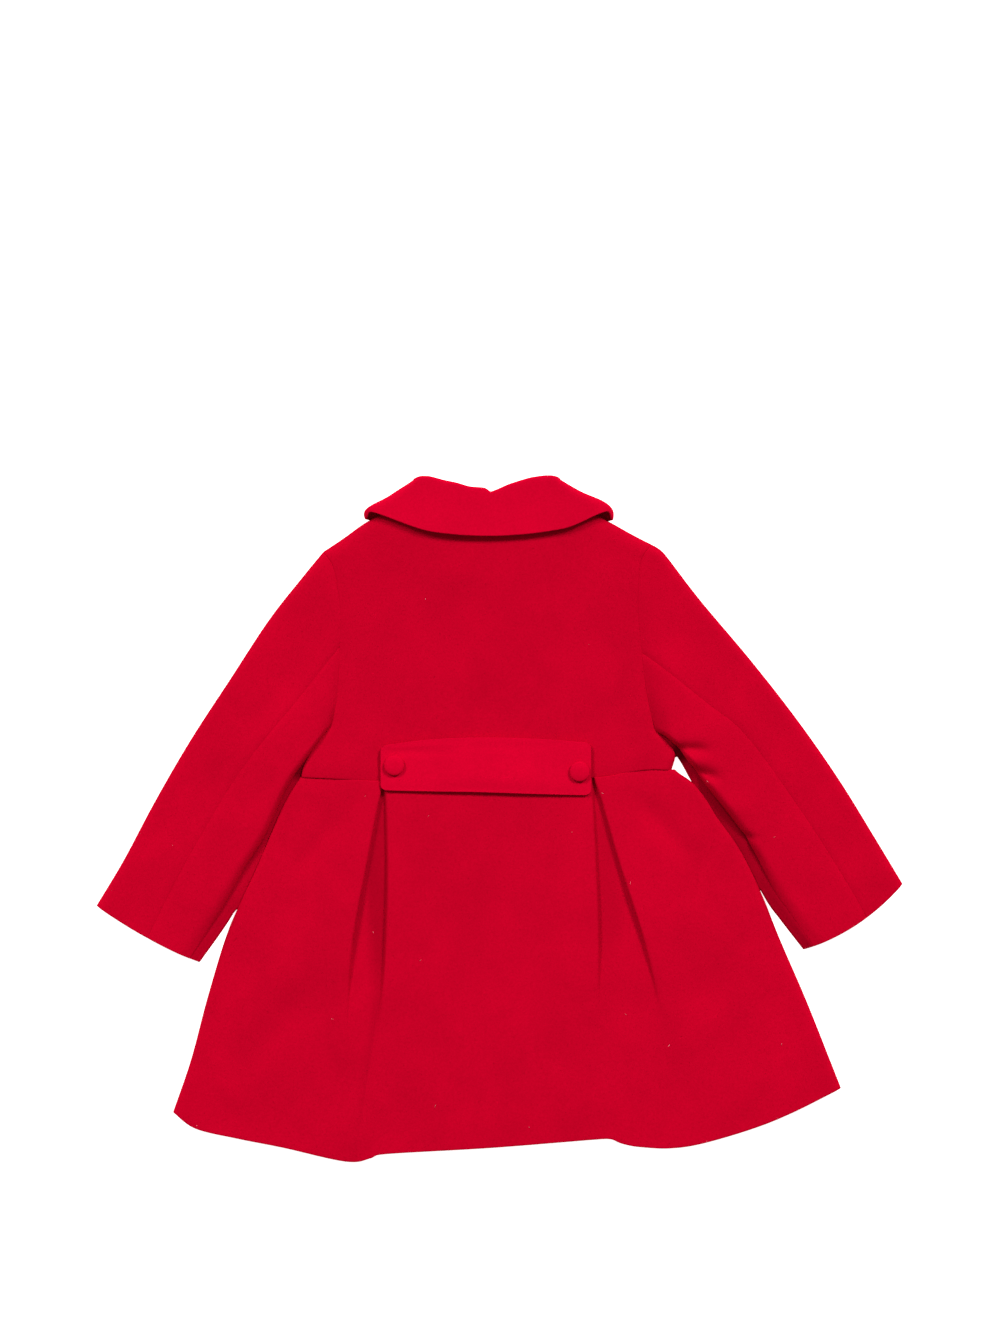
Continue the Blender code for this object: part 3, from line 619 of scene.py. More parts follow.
    def collar_rise(self, plan: Array) -> Array:
        """Lift of the fronts where the collar's front leaves lie under them."""
        x, y = plan[..., 0], plan[..., 1]
        return LAYER * ease(x, *self.leaf_left) * ease(-x, *self.leaf_right) * ease(y, *self.leaf_low)

    def lap_rise(self, plan: Array) -> Array:
        """Lift of the left front where it lies on the right front's lap."""
        edge = self.centre_front(plan[..., 1]) - LAP_HALF - LAP_EASE
        return LAYER * ease(plan[..., 0] - edge, -LAP_RAMP, 0.0)


LINES = CoatLines()


@dataclass
class ClothPiece:
    """A cut panel: an open surface given the cloth's thickness, standing for one solid of the part."""

    node: str
    slot: str
    finish: WoolFinish
    flat: tuple[float, float]
    area: float
    rests_on: tuple[str, ...] = ()
    facing: Facing = Facing.UP
    thickness: float = CLOTH
    offset: float = -1.0

    def grid(self) -> Array:
        """Points of the panel, rows by columns, in millimetres."""
        raise NotImplementedError

    def build(self) -> bpy.types.Object:
        """Make the panel's mesh.

        Returns:
            The finished piece, at the origin.
        """
        grid = edged(self.grid(), EDGE_KEEP)
        rows, cols = grid.shape[:2]
        index = np.arange(rows * cols).reshape(rows, cols)
        corners = (index[:-1, :-1], index[1:, :-1], index[1:, 1:], index[:-1, 1:])
        quads = np.stack(corners, axis=-1).reshape(-1, 4)
        if self.facing is Facing.DOWN:
            quads = quads[:, ::-1]
        mesh = bpy.data.meshes.new(f"{self.node}_cloth")
        mesh.from_pydata((grid.reshape(-1, 3) * MM).tolist(), [], quads.tolist())
        mesh.update()
        piece = in_scene(f"{self.node}_cloth", mesh)
        wall = piece.modifiers.new("cloth", "SOLIDIFY")
        wall.thickness = self.thickness * MM
        wall.offset = self.offset
        wall.use_quality_normals = True
        soft = piece.modifiers.new("soft_edges", "SUBSURF")
        soft.levels = 1
        soft.render_levels = 1
        settle(piece)
        # Paint the shade of the folds into a point attribute.
        self.tone(piece.data)
        piece.data.materials.append(self.finish.material())
        return piece

    def painted_fold_shade(self, points: Array, normals: Array) -> Array:
        """Share of the shade painted on the cloth inside a fold.

        Args:
            points: Points of the panel, in millimetres; not used here.
            normals: The way the panel looks at each point; not used here.

        Returns:
            A share for each point.
        """
        return np.zeros(len(points))

    def tone(self, mesh: bpy.types.Mesh) -> None:
        """Write the shade painted in the folds to the mesh.

        Args:
            mesh: The panel's finished mesh.
        """
        points, normals = np.empty((2, 3 * len(mesh.vertices)), dtype=np.float32)
        mesh.vertices.foreach_get("co", points)
        mesh.vertices.foreach_get("normal", normals)
        share = self.painted_fold_shade(points.reshape(-1, 3).astype(float) / MM, normals.reshape(-1, 3))
        mesh.attributes.new(FOLD_SHADE_ATTRIBUTE, "FLOAT", "POINT").data.foreach_set("value", share.astype(np.float32))

    def dress(self, piece: bpy.types.Object) -> None:
        """Fix the piece to the coat's body and hide the solid it stands for.

        Args:
            piece: The built panel.
        """
        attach(piece, BODY)
        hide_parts(self.node)
        list(self.rests_on)


def settle(piece: bpy.types.Object) -> None:
    """Turn an object's modifiers into its plain, smooth shaded mesh.

    Args:
        piece: The object.
    """
    depsgraph = bpy.context.evaluated_depsgraph_get()
    mesh = bpy.data.meshes.new_from_object(piece.evaluated_get(depsgraph), depsgraph=depsgraph)
    piece.modifiers.clear()
    piece.data = mesh
    smooth(mesh)


@dataclass
class BackBodice(ClothPiece):
    """Back bodice: neck and shoulders on top, armholes and sides, waist seam below."""

    height_y: tuple[float, ...] = (28.0, 70.0, 130.0, 190.0, 250.0)
    height_z: tuple[float, ...] = (8.4, 7.6, 7.8, 9.0, 9.0)
    shoulder_roll: float = 10.0
    side_roll: float = 5.0
    edge_lift: float = 1.8
    tuck_lift: float = 2.3
    tuck_reach: float = 20.0
    waist_dip: float = 0.9
    fold_from: Span = (4.0, 24.0)
    swelling: tuple[float, float, float] = (88.0, 0.55, 0.4)
    neck_steps: int = 48
    neck_count: int = 30
    shoulder_count: int = 12
    armhole_count: int = 30
    armhole_lean: float = 1.35
    side_count: int = 9
    folds: tuple[Fold, ...] = (
        Fold((-104.0, 150.0), (-84.0, 66.0), 9.0, 0.7),
        Fold((90.0, 150.0), (78.0, 66.0), 9.0, 0.7),
        Fold((-70.0, 92.0), (40.0, 84.0), 12.0, -0.5),
        Fold((-118.0, 62.0), (-92.0, 44.0), 6.0, -0.6),
        Fold((112.0, 60.0), (84.0, 46.0), 6.0, -0.6),
    )

    def height(self, plan: Array) -> Array:
        """Outer face of the bodice.

        Args:
            plan: Plan points.

        Returns:
            A height for each point.
        """
        near = {
            name: np.minimum(*(distance(plan, LINES.line(name, side)) for side in Side))
            for name in ("shoulder", "side", "armhole")
        }
        waist = distance(plan, LINES.bodice_waist())
        base = np.interp(plan[..., 1], self.height_y, self.height_z)
        inner = ease(np.minimum.reduce([*near.values(), waist]), *self.fold_from)
        base = base + inner * (folded(plan, self.folds) + swell(plan, *self.swelling))
        low = CLOTH + SEAM + self.edge_lift + LINES.collar_rise(plan)
        left, right = (LINES.tuck(side, plan[..., 1]) for side in Side)
        hands = np.where(plan[..., 0] < 0.0, left, right)
        low = low + self.tuck_lift * hands * (1.0 - ease(near["side"], 0.0, self.tuck_reach))
        dip = SEAM_DIP * (1.0 - ease(near["armhole"], 0.0, SEAM_DIP_WIDTH))
        dip = dip + self.waist_dip * SEAM_DIP * (1.0 - ease(waist, 0.0, SEAM_DIP_WIDTH))
        over_shoulder = rolled(near["shoulder"], self.shoulder_roll)
        return low + (base - low - dip) * over_shoulder * rolled(near["side"], self.side_roll)

    def grid(self) -> Array:
        """Points of the panel, rows by columns, in millimetres.

        Returns:
            The grid.
        """
        neck = LINES.neck(LINES.back_neck, self.neck_steps)
        top = chain(
            (LINES.line("shoulder", Side.LEFT), even(self.shoulder_count)),
            (neck, even(self.neck_count)),
            (LINES.line("shoulder", Side.RIGHT)[::-1], even(self.shoulder_count)),
        )
        bottom = at(LINES.bodice_waist(), crowded(len(top) - 1))
        edges = []
        for side in Side:
            edge = chain(
                (LINES.line("armhole", side), leaning(self.armhole_count, self.armhole_lean)),
                (LINES.line("side", side), even(self.side_count)),
            )
            edge[-1] = bottom[0] if side is Side.LEFT else bottom[-1]
            edges.append(edge)
        plan = patch(top, bottom, *edges)
        return lifted(plan, self.height(plan))


@dataclass
class FrontPanel(ClothPiece):
    """One front lying on the floor under the back: an outer seam, a lap at the centre front."""

    side: Side = Side.LEFT
    drawn_in: float = 6.0

    def lap(self, y: float) -> float:
        """X of the lap's edge at a height on the coat."""
        return float(LINES.centre_front(y)) - self.side.sign * LAP_HALF

    def cut(self, line: Array, x: float) -> Array:
        """The part of a line on this side of an upright cut.

        Args:
            line: A line from left to right.
            x: Where it is cut.

        Returns:
            The line's points with the cut's own point, from left to right.
        """
        end = np.array([[x, np.interp(x, line[:, 0], line[:, 1])]])
        if self.side is Side.LEFT:
            return np.vstack([line[line[:, 0] < x], end])
        return np.vstack([end, line[line[:, 0] > x]])

    def filled(self, top: Array, bottom: Array, outer: Array) -> Array:
        """Plan points between the outer seam and the lap.

        Args:
            top: Upper edge, left to right.
            bottom: Lower edge, left to right.
            outer: Outer seam, top to bottom.

        Returns:
            The panel's plan points.
        """
        drawn = self.side.sign * self.drawn_in * LINES.tuck(self.side, outer[:, 1])
        outer = outer - np.stack([drawn, np.zeros(len(outer))], axis=1)
        top_end, inner_end = (0, -1) if self.side is Side.LEFT else (-1, 0)
        top[top_end], bottom[top_end] = outer[0], outer[-1]
        inner = at(np.vstack([top[inner_end], bottom[inner_end]]), even(len(outer) - 1))
        left, right = (outer, inner) if self.side is Side.LEFT else (inner, outer)
        left[0], right[0], left[-1], right[-1] = top[0], top[-1], bottom[0], bottom[-1]
        return patch(top, bottom, left, right)


@dataclass
class FrontBodice(FrontPanel):
    """Front bodice with its neck, shoulder, armhole, side seam and waist."""

    neck_y: float = 200.0
    waist_y: float = 30.0
    neck_steps: int = 60
    neck_count: int = 12
    shoulder_count: int = 8
    waist_count: int = 20
    armhole_count: int = 20
    side_count: int = 5

    def grid(self) -> Array:
        """Points of the panel, rows by columns, in millimetres.

        Returns:
            The grid.
        """
        neck = self.cut(LINES.neck(LINES.front_neck, self.neck_steps), self.lap(self.neck_y))
        shoulder = LINES.line("shoulder", self.side)
        if self.side is Side.LEFT:
            top = chain((shoulder, even(self.shoulder_count)), (neck, even(self.neck_count)))
        else:
            top = chain((neck, even(self.neck_count)), (shoulder[::-1], even(self.shoulder_count)))
        bottom = at(self.cut(LINES.bodice_waist(), self.lap(self.waist_y)), even(self.waist_count))
        outer = chain(
            (LINES.line("armhole", self.side), even(self.armhole_count)),
            (LINES.line("side", self.side), even(self.side_count)),
        )
        plan = self.filled(top, bottom, outer)
        rise = LINES.collar_rise(plan)
        return lifted(plan, rise + LINES.lap_rise(plan) if self.side is Side.LEFT else rise)


@dataclass
class FrontSkirt(FrontPanel):
    """Front skirt with its waist, side seam, lap and a hem a little short of the back's."""

    short: float = 2.0
    waist_y: float = 30.0
    hem_y: float = -250.0
    across_count: int = 18
    down_count: int = 22

    def grid(self) -> Array:
        """Points of the panel, rows by columns, in millimetres.

        Returns:
            The grid.
        """
        top = at(self.cut(LINES.skirt_waist(), self.lap(self.waist_y)), even(self.across_count))
        hem = LINES.line("hem") + (0.0, self.short)
        bottom = at(self.cut(hem, self.lap(self.hem_y)), even(self.across_count))
        outer = at(LINES.line("skirt", self.side), even(self.down_count))
        plan = self.filled(top, bottom, outer)
        return lifted(plan, LINES.lap_rise(plan) if self.side is Side.LEFT else np.zeros(plan.shape[:2]))


@dataclass(frozen=True)
class SleeveLines:
    """Outer fold, elbow seam and inner fold of a laid sleeve, from the armhole to the cuff."""

    outer: Table
    elbow: Table
    inner: Table


SLEEVES = {
    Side.LEFT: SleeveLines(
        ((-132.4, 199.9), (-149.6, 178.9), (-172.9, 148.9), (-202.1, 103.9),
         (-231.4, 58.9), (-257.6, 13.9), (-281.6, -31.1), (-301.9, -64.9)),
        ((-118.1, 127.9), (-149.6, 88.9), (-175.9, 58.9), (-198.4, 28.9),
         (-224.6, -14.6), (-247.1, -55.9), (-262.1, -86.6)),
        ((-128.2, 68.6), (-150.2, 30.4), (-158.5, 13.1), (-170.6, -20.6),
         (-186.4, -46.9), (-202.4, -76.1), (-224.6, -107.6)),
    ),
    Side.RIGHT: SleeveLines(
        ((114.4, 205.4), (121.4, 201.2), (127.8, 193.6), (150.4, 163.9), (187.9, 118.9),
         (223.1, 73.9), (254.6, 28.9), (282.4, -16.1), (301.9, -48.4)),
        ((103.9, 122.6), (154.1, 86.6), (184.1, 62.6), (225.4, 6.4), (259.1, -46.1), (271.9, -68.6)),
        ((119.8, 64.8), (127.6, 57.0), (133.4, 49.0), (138.4, 41.4), (145.2, 27.9), (153.8, 13.1),
         (179.6, -22.9), (199.4, -60.4), (210.6, -76.1), (227.6, -97.9)),
    ),
}
SLEEVE_FOLDS = {
    Side.LEFT: (
        Fold((-150.0, 120.0), (-186.0, 66.0), 8.0, -0.9),
        Fold((-196.0, 88.0), (-214.0, 40.0), 9.0, 0.8),
        Fold((-232.0, 10.0), (-262.0, -40.0), 8.0, 0.7),
        Fold((-168.0, 34.0), (-186.0, 6.0), 6.0, -0.9),
    ),
    Side.RIGHT: (
        Fold((126.0, 53.6), (155.0, 51.4), 3.6, -5.2),
        Fold((140.0, 39.2), (163.0, 30.6), 3.6, -4.8),
        Fold((170.5, -10.0), (192.0, -14.6), 3.0, -3.2),
        Fold((183.0, -23.0), (197.0, -33.0), 2.8, -1.6),
        Fold((146.0, 45.0), (166.0, 39.0), 6.0, 0.8),
        Fold((166.0, 12.0), (188.0, 4.0), 9.0, 1.3),
        Fold((150.0, 116.0), (196.0, 60.0), 9.0, 0.9),
        Fold((222.0, 40.0), (252.0, -10.0), 9.0, 0.8),
    ),
}


class SleevePart(Enum):
    """The two cut pieces of a two-piece sleeve."""

    TOP = "top"
    UNDER = "under"


@dataclass(frozen=True)
class SleeveShape:
    """What sets one sleeve apart: its low band, the ridge over it and their lap, row by row to the cuff, and the
    strength of the shade painted on the band.
    """

    band: tuple[float, ...]
    ridge: tuple[float, ...]
    step: tuple[float, ...]
    band_shade: float
    pit: tuple[float, float]
    cuff_bow: float


SLEEVE_ROWS = (0.0, 0.12, 0.28, 0.5, 0.8, 1.0)
SLEEVE_SHAPES = {
    Side.LEFT: SleeveShape(
        band=(1.5, 6.0, 9.5, 10.5, 10.0, 8.5), ridge=(0.0, 4.6, 5.4, 4.8, 2.6, 1.0),
        step=(1.0, 1.0, 1.0, 1.0, 0.5, 0.2), band_shade=0.45, pit=(-149.5, 37.0), cuff_bow=3.0,
    ),
    Side.RIGHT: SleeveShape(
        band=(1.0, 8.0, 11.0, 11.0, 10.0, 8.5), ridge=(0.0, 6.6, 7.2, 4.8, 1.8, 0.6),
        step=(1.0, 1.0, 1.0, 0.9, 0.15, 0.0), band_shade=1.1, pit=(135.5, 49.5), cuff_bow=6.5,
    ),
}


@dataclass(frozen=True)
class SleeveRow:
    """Section sizes at one place along a sleeve, the distances measured from its outer fold."""

    span: float
    width: float
    tuck: float
    band: float
    ridge: float
    roll: float
    step: float


@dataclass
class SleevePiece(ClothPiece):
    """One piece of a flattened two-piece sleeve.

    A name in _t is a share of the way from armhole to cuff, and a name in _share one of the way across.
    """

    side: Side = Side.LEFT
    part: SleevePart = SleevePart.TOP
    top: float = 7.6
    outer_fold: float = 6.0
    outer_turn: float = 66.0
    inner_turn: float = 80.0
    seam_gap: float = -0.4
    dip: float = 0.75
    dip_fade: float = 0.4
    armhole_gap: float = -0.5
    underarm_gap: float = 0.3
    underarm_share: Span = (0.75, 1.0)
    shoulder_gap: float = 0.2
    shoulder_share: float = 0.15
    roll: tuple[float, ...] = (4.0, 5.0, 5.5, 6.0, 8.0, 9.0)
    roll_shares: tuple[float, ...] = (0.8, 0.62, 0.46, 0.32, 0.2, 0.1, 0.03, 0.0)
    puff_start: float = 0.3
    puff_end: float = 0.8
    band_swell: float = 0.9
    lip_start: float = 1.6
    lip_gap: float = 0.3
    lip_lap: float = 1.7
    # Shade painted on the low band, in the pit under the arm and along the crease beside the ridge: the heights and
    # reaches over which it fades, and its strengths.
    shade_z: Span = (4.9, 6.2)
    shade_reach: Span = (12.0, 17.0)
    shade_line_count: int = 60
    pit_shade: float = 1.5
    pit_reach: Span = (3.0, 12.0)
    crease_shade: float = 1.0
    crease_reach: Span = (6.6, 9.2)
    crease_y: Span = (-60.0, -10.0)
    tucked: float = 5.0
    bend_t: float = 0.45
    head_dip: float = 0.6
    head_dip_t: float = 0.03
    head_rise: float = 1.2
    head_rise_t: float = 0.3
    head_y: Span = (130.0, 190.0)
    cuff_t: Span = (0.75, 1.0)
    cuff_power: float = 0.8
    cuff_rows: int = 6
    loose_t: float = 0.06
    loose_rise: float = 1.5
    swelling: tuple[float, float, float] = (74.0, 0.6, 1.3)
    rows: int = 92
    wall_count: int = 14
    flat_count: int = 16
    outer_count: int = 10
    floor_count: int = 14
    inner_count: int = 9
    lip_count: int = 6

    @property
    def shape(self) -> SleeveShape:
        """What sets this sleeve apart from the other."""
        return SLEEVE_SHAPES[self.side]

    def across(self, row: SleeveRow) -> tuple[Array, Array]:
        """Section of the piece as distances from the outer fold and heights.

        Args:
            row: The section's sizes.

        Returns:
            The distances and the heights of the wall's middle.
        """
        half = 0.5 * CLOTH
        low, high = half, self.top - half
        middle, rise = 0.5 * (low + high), 0.5 * (high - low)
        dip = self.dip * SEAM_DIP
        beside_seam = np.array([0.5 * self.seam_gap, 0.25 * SEAM_DIP_WIDTH, 0.5 * SEAM_DIP_WIDTH])
        start, end, front_seam = half, row.width - half + row.tuck, row.width - row.band
        shelf = low + LAYER

        def puff(d: Array) -> Array:
            """Rise of the upper wall towards the front seam's ridge."""
            return row.ridge * ease(d, self.puff_start * row.span, front_seam - self.puff_end * row.roll)

        if self.part is SleevePart.UNDER:
            d = np.concatenate([
                row.span + beside_seam,
                np.linspace(row.span + SEAM_DIP_WIDTH, front_seam - row.roll, self.wall_count),
                front_seam - row.roll * np.array(self.roll_shares),
            ])
            foot = shelf + LAYER
            eased = np.sin(0.5 * math.pi * np.clip((front_seam - d) / row.roll, 0.0, 1.0))
            fall = row.step * rolled(front_seam - d, row.roll) + (1.0 - row.step) * eased
            z = foot + (high + puff(d) - foot) * fall
            z[:2] -= (dip, self.dip_fade * dip)
            return d, z
        outer = np.radians(np.linspace(self.outer_turn, -self.outer_turn, self.outer_count))
        inner = np.radians(np.linspace(-self.inner_turn, self.inner_turn, self.inner_count))
        turn = 0.5 * LAYER
        flat = np.linspace(row.span - SEAM_DIP_WIDTH, start + self.outer_fold, self.flat_count)
        floor = np.linspace(start + self.outer_fold, end - turn, self.floor_count)
        lip_end = front_seam - self.lip_gap - self.lip_lap * row.step
        d = np.concatenate([
            row.span - beside_seam, flat,
            start + self.outer_fold * (1.0 - np.cos(outer)), floor,
            end - turn * (1.0 - np.cos(inner)),
            np.linspace(end - self.lip_start * turn, lip_end, self.lip_count),
        ])
        upper = high + puff(d[:len(beside_seam) + len(flat)])
        upper[:2] -= (dip, self.dip_fade * dip)
        up = even(self.lip_count - 1)
        z = np.concatenate([
            upper, middle + rise * np.sin(outer),
            np.full(len(floor), low), low + turn + turn * np.sin(inner),
            shelf + row.step * self.band_swell * np.sin(math.pi * up) + (1.0 - row.step) * LAYER * up,
        ])
        return d, z

    def painted_fold_shade(self, points: Array, normals: Array) -> Array:
        """Painted shade on the low band, on the crease beside it and in the pit under the arm.

        Args:
            points: Points of the piece, in millimetres.
            normals: The way the piece looks at each point.

        Returns:
            A share for each point.
        """
        plan = points[:, :2]
        near = distance(plan, at(curve(SLEEVES[self.side].inner), even(self.shade_line_count)))
        low = (1.0 - ease(points[:, 2], *self.shade_z)) * (1.0 - ease(near, *self.shade_reach))
        low = low * (normals[:, 2] > 0.0)
        deep = 1.0 - ease(np.linalg.norm(plan - np.array(self.shape.pit), axis=1), *self.pit_reach)
        crease = ease(near, *self.crease_reach) * ease(points[:, 1], *self.crease_y)
        return low * (self.shape.band_shade + self.pit_shade * deep + self.crease_shade * crease)

    def moved(self, plan: Array, z: Array, t: float) -> Array:
        """Heights of a section with its folds, its low seam and its raised head.

        Args:
            plan: The section's plan points.
            z: Its heights before.
            t: Where it lies from armhole to cuff.

        Returns:
            Its heights after, the low band's as they were.
        """
        foot = 0.5 * CLOTH + 2.0 * LAYER
        size, amount, phase = self.swelling
        loose = float(ease(t, 0.0, self.loose_t)) * ease(z, foot, foot + self.loose_rise)
        creased = folded(plan, SLEEVE_FOLDS[self.side]) + swell(plan, size, amount, phase + self.side.sign)
        moved = z + loose * creased
        moved = moved - self.head_dip * (1.0 - float(ease(t, 0.0, self.head_dip_t)))
        crown = ease(plan[:, 1], *self.head_y) * ease(z, foot, self.top - 0.5 * CLOTH)
        moved = moved + self.head_rise * crown * (1.0 - float(ease(t, 0.0, self.head_rise_t)))
        return np.where(z > foot, np.maximum(moved, foot), z)

    def grid(self) -> Array:
        """Points of the piece, rows by columns, in millimetres.

        Returns:
            The grid.
        """
        cut, shape = SLEEVES[self.side], self.shape
        outer, elbow, inner = (at(curve(line), even(self.rows)) for line in (cut.outer, cut.elbow, cut.inner))
        armhole = LINES.line("armhole", self.side)
        head = np.vstack([outer[0], elbow[0], inner[0]])
        cuff_way = elbow[-1] - elbow[-self.cuff_rows]
        cuff_way = cuff_way / np.linalg.norm(cuff_way)
        tables = (shape.band, shape.ridge, self.roll, shape.step)
        rows = []
        for j, t in enumerate(even(self.rows)):
            path = np.vstack([outer[j], elbow[j], inner[j]])
            span = float(np.linalg.norm(elbow[j] - outer[j]))
            width = span + float(np.linalg.norm(inner[j] - elbow[j]))
            sizes = [monotone(SLEEVE_ROWS, values, float(t)) for values in tables]
            tuck = self.tucked * float(LINES.tuck(self.side, inner[j, 1]))
            d, z = self.across(SleeveRow(span, width, tuck, *sizes))
            share = np.clip(d / width, 0.0, 1.0)
            past = np.maximum(d - width, 0.0)[:, None] * (inner[j] - elbow[j]) / (width - span)
            seam = at(armhole, share)
            seam[:, 0] += self.side.sign * (
                self.armhole_gap + self.underarm_gap * ease(share, *self.underarm_share)
                + self.shoulder_gap * (1.0 - ease(share, 0.0, self.shoulder_share))
            )
            bend = 1.0 - float(ease(t, 0.0, self.bend_t))
            plan = at(path, share) + past + bend * (seam - at(head, share))
            bow = shape.cuff_bow * float(ease(t, *self.cuff_t)) * np.sin(math.pi * share) ** self.cuff_power
            plan = plan + bow[:, None] * cuff_way
            rows.append(lifted(plan, self.moved(plan, z, t)))
        return np.array(rows)


@dataclass(frozen=True)
class CollarRing:
    """One line round the collar: its side points, the scoop of each leaf and the height of both leaves."""

    left: tuple[float, float]
    right: tuple[float, float]
    back_drop: float
    back_bow: float
    front_drop: float
    front_bow: float
    front_z: float
    back_z: float
    fold: float
    front_end: float = 7.0
    steepness: float = 3.0
    steep_power: int = 18
    fold_turn: float = 60.0
    fold_count: int = 11
    front_count: int = 14
    back_count: int = 52

    def points(self, out: float = 0.0, up: float = 0.0) -> Array:
        """Points from the left front end round the back to the right front end.

        Args:
            out: How far the ring stands out from itself.
            up: How far it stands above itself.

        Returns:
            The ring's points.
        """
        lx, rx = self.left[0] - out, self.right[0] + out
        high, low = self.back_z + out, self.front_z - out
        mid, half = 0.5 * (lx + rx), 0.5 * (rx - lx)
        middle, rise = 0.5 * (high + low), 0.5 * (high - low)
        level, tilt = 0.5 * (self.left[1] + self.right[1]), 0.5 * (self.right[1] - self.left[1])
        front_s, side_s = self.front_end / half, 1.0 - self.fold / half

        def back(s: Array) -> Array:
            """Y of the back leaf."""
            return level + s * tilt - self.back_drop * (1.0 - np.abs(s) ** self.back_bow) + up

        def front(s: Array) -> Array:
            """Y of the front leaf."""
            steep = 1.0 + self.steepness * np.abs(s) * (1.0 - np.abs(s) ** self.steep_power)
            return level + s * tilt - self.front_drop * (1.0 - s * s) ** self.front_bow + up * steep

        turn = np.radians(np.linspace(-self.fold_turn, self.fold_turn, self.fold_count))
        fold_s = 1.0 - self.fold * (1.0 - np.cos(turn)) / half
        share, fold_z = 0.5 + 0.5 * np.sin(turn), middle + rise * np.sin(turn)
        front_run = np.linspace(front_s, side_s, self.front_count)
        back_run = np.linspace(-side_s, side_s, self.back_count)
        s = np.concatenate([-front_run, -fold_s, back_run, fold_s[::-1], front_run[::-1]])
        none, whole = np.zeros(self.front_count), np.ones(self.back_count)
        leaf = np.concatenate([none, share, whole, share[::-1], none])
        y = (1.0 - leaf) * front(s) + leaf * back(s)
        z = np.concatenate([none + low, fold_z, high * whole, fold_z[::-1], none + low])
        return np.stack([mid + half * s, y, z], axis=1)


COLLAR_SEAM = CollarRing((-70.2, 237.8), (53.0, 238.2), 19.5, 2.0, 39.5, 1.0, 3.3, 8.1, 3.5)
COLLAR_STAND = CollarRing((-66.0, 246.5), (46.2, 246.5), 14.0, 1.3, 44.0, 1.0, 3.7, 8.1, 3.5)
COLLAR_ROLL = CollarRing((-62.8, 254.1), (43.6, 254.1), 10.2, 1.0, 47.0, 1.0, 2.4, 9.6, 4.2)
COLLAR_FALL = CollarRing((-78.2, 244.4), (59.8, 244.9), 12.6, 1.3, 58.0, 1.2, 0.9, 11.4, 6.0)
COLLAR_EDGE = CollarRing((-99.6, 225.6), (84.2, 226.0), 14.6, 2.0, 64.0, 1.6, 0.9, 13.2, 8.0)


@dataclass
class Collar(ClothPiece):
    """Turned-down collar: a stand up from the neck seam, a roll and a fall over the shoulders.

    Pairs of ends are left and right, and a name in _z says between which heights the front leaf gives way to
    the back leaf.
    """

    turn: float = 1.5
    turn_count: int = 9
    fall_shares: tuple[float, ...] = (0.0, 0.14, 0.28, 0.42, 0.56, 0.7, 0.8, 0.88, 0.95, 1.0)
    crest_x: tuple[float, ...] = (
        -62.8, -59.1, -52.4, -41.6, -32.2, -22.8, -10.7, -6.7, -1.3, 6.7, 16.1, 24.2, 33.6, 40.0, 43.6,
    )
    crest_y: tuple[float, ...] = (
        -1.2, 0.9, 2.0, 1.1, 1.0, -0.1, 1.3, -2.2, -1.2, 0.9, 2.2, 2.9, 2.4, 1.2, -0.5,
    )
    crest_z: Span = (4.0, 8.0)
    stand_crest: float = 0.5
    fall_crest: float = 0.35
    front_sink: float = 3.0
    sink_reach: Span = (4.0, 22.0)
    bulge: tuple[float, float] = (5.9, 7.6)
    bulge_power: tuple[float, float] = (2.0, 1.3)
    bulge_rise: float = 1.2
    end_drop: tuple[float, float] = (1.4, 2.6)
    end_reach: float = 13.0
    end_lift: tuple[float, float] = (5.2, 5.2)
    lift_from: tuple[float, float] = (40.0, 55.0)
    lift_end: float = 4.0
    lift_z: Span = (8.5, 12.5)
    edge_rise: float = 0.5
    rise_z: Span = (7.0, 11.0)
    swelling: tuple[float, float, float] = (60.0, 0.5, 2.2)

    def crested(self, ring: Array, share: float) -> Array:
        """A ring with its back leaf following the collar's uneven crest.

        Args:
            ring: The ring's points.
            share: How far the ring follows it.

        Returns:
            The moved points.
        """
        ring = ring.copy()
        back = ease(ring[:, 2], *self.crest_z)
        out = np.minimum(ring[:, 0] - ring[:, 0].min(), ring[:, 0].max() - ring[:, 0])
        sunk = self.front_sink * (1.0 - ease(out, *self.sink_reach))
        ring[:, 1] += share * (np.interp(ring[:, 0], self.crest_x, self.crest_y) * back - sunk * (1.0 - back))
        return ring

    def fallen(self, ring: Array, share: float) -> Array:
        """A ring of the fall with its blunt, rounded ends and its edge standing off the back.

        Args:
            ring: The ring's points.
            share: Where it lies from the roll to the edge.

        Returns:
            The moved points.
        """
        ring = ring.copy()
        ends = ring[:, 0].min(), ring[:, 0].max()
        middle, half = 0.5 * (ends[1] + ends[0]), 0.5 * (ends[1] - ends[0])
        upper = ease(ring[:, 2], *self.lift_z)
        for k, side in enumerate(Side):
            wave = math.sin(math.pi * share ** self.bulge_power[k])
            out = side.sign * (ring[:, 0] - middle)
            near = np.exp(-((out - half) / self.end_reach) ** 2)
            lift = self.end_lift[k] * share ** 2 * upper * ease(out, self.lift_from[k], half - self.lift_end)
            drop = self.end_drop[k] * share ** 3 * (1.0 - upper)
            ring[:, 0] += side.sign * self.bulge[k] * wave * near
            ring[:, 1] += lift + (self.bulge_rise * wave - drop) * near
        back = ease(ring[:, 2], *self.rise_z)
        ring[:, 2] += back * (self.edge_rise * share ** 2 + share * swell(ring[:, :2], *self.swelling))
        return ring

    def grid(self) -> Array:
        """Points of the collar, rings by points, in millimetres.

        Returns:
            The grid.
        """
        rings = [COLLAR_SEAM.points(), self.crested(COLLAR_STAND.points(), self.stand_crest)]
        for angle in np.linspace(-0.5 * math.pi, 0.5 * math.pi, self.turn_count):
            ring = COLLAR_ROLL.points(self.turn * math.sin(angle), self.turn * math.cos(angle))
            rings.append(self.crested(ring, 1.0))
        fall, edge = self.crested(COLLAR_FALL.points(), self.fall_crest), COLLAR_EDGE.points()
        rings.extend(self.fallen(fall + (edge - fall) * share, share) for share in self.fall_shares)
        return np.array(rings)


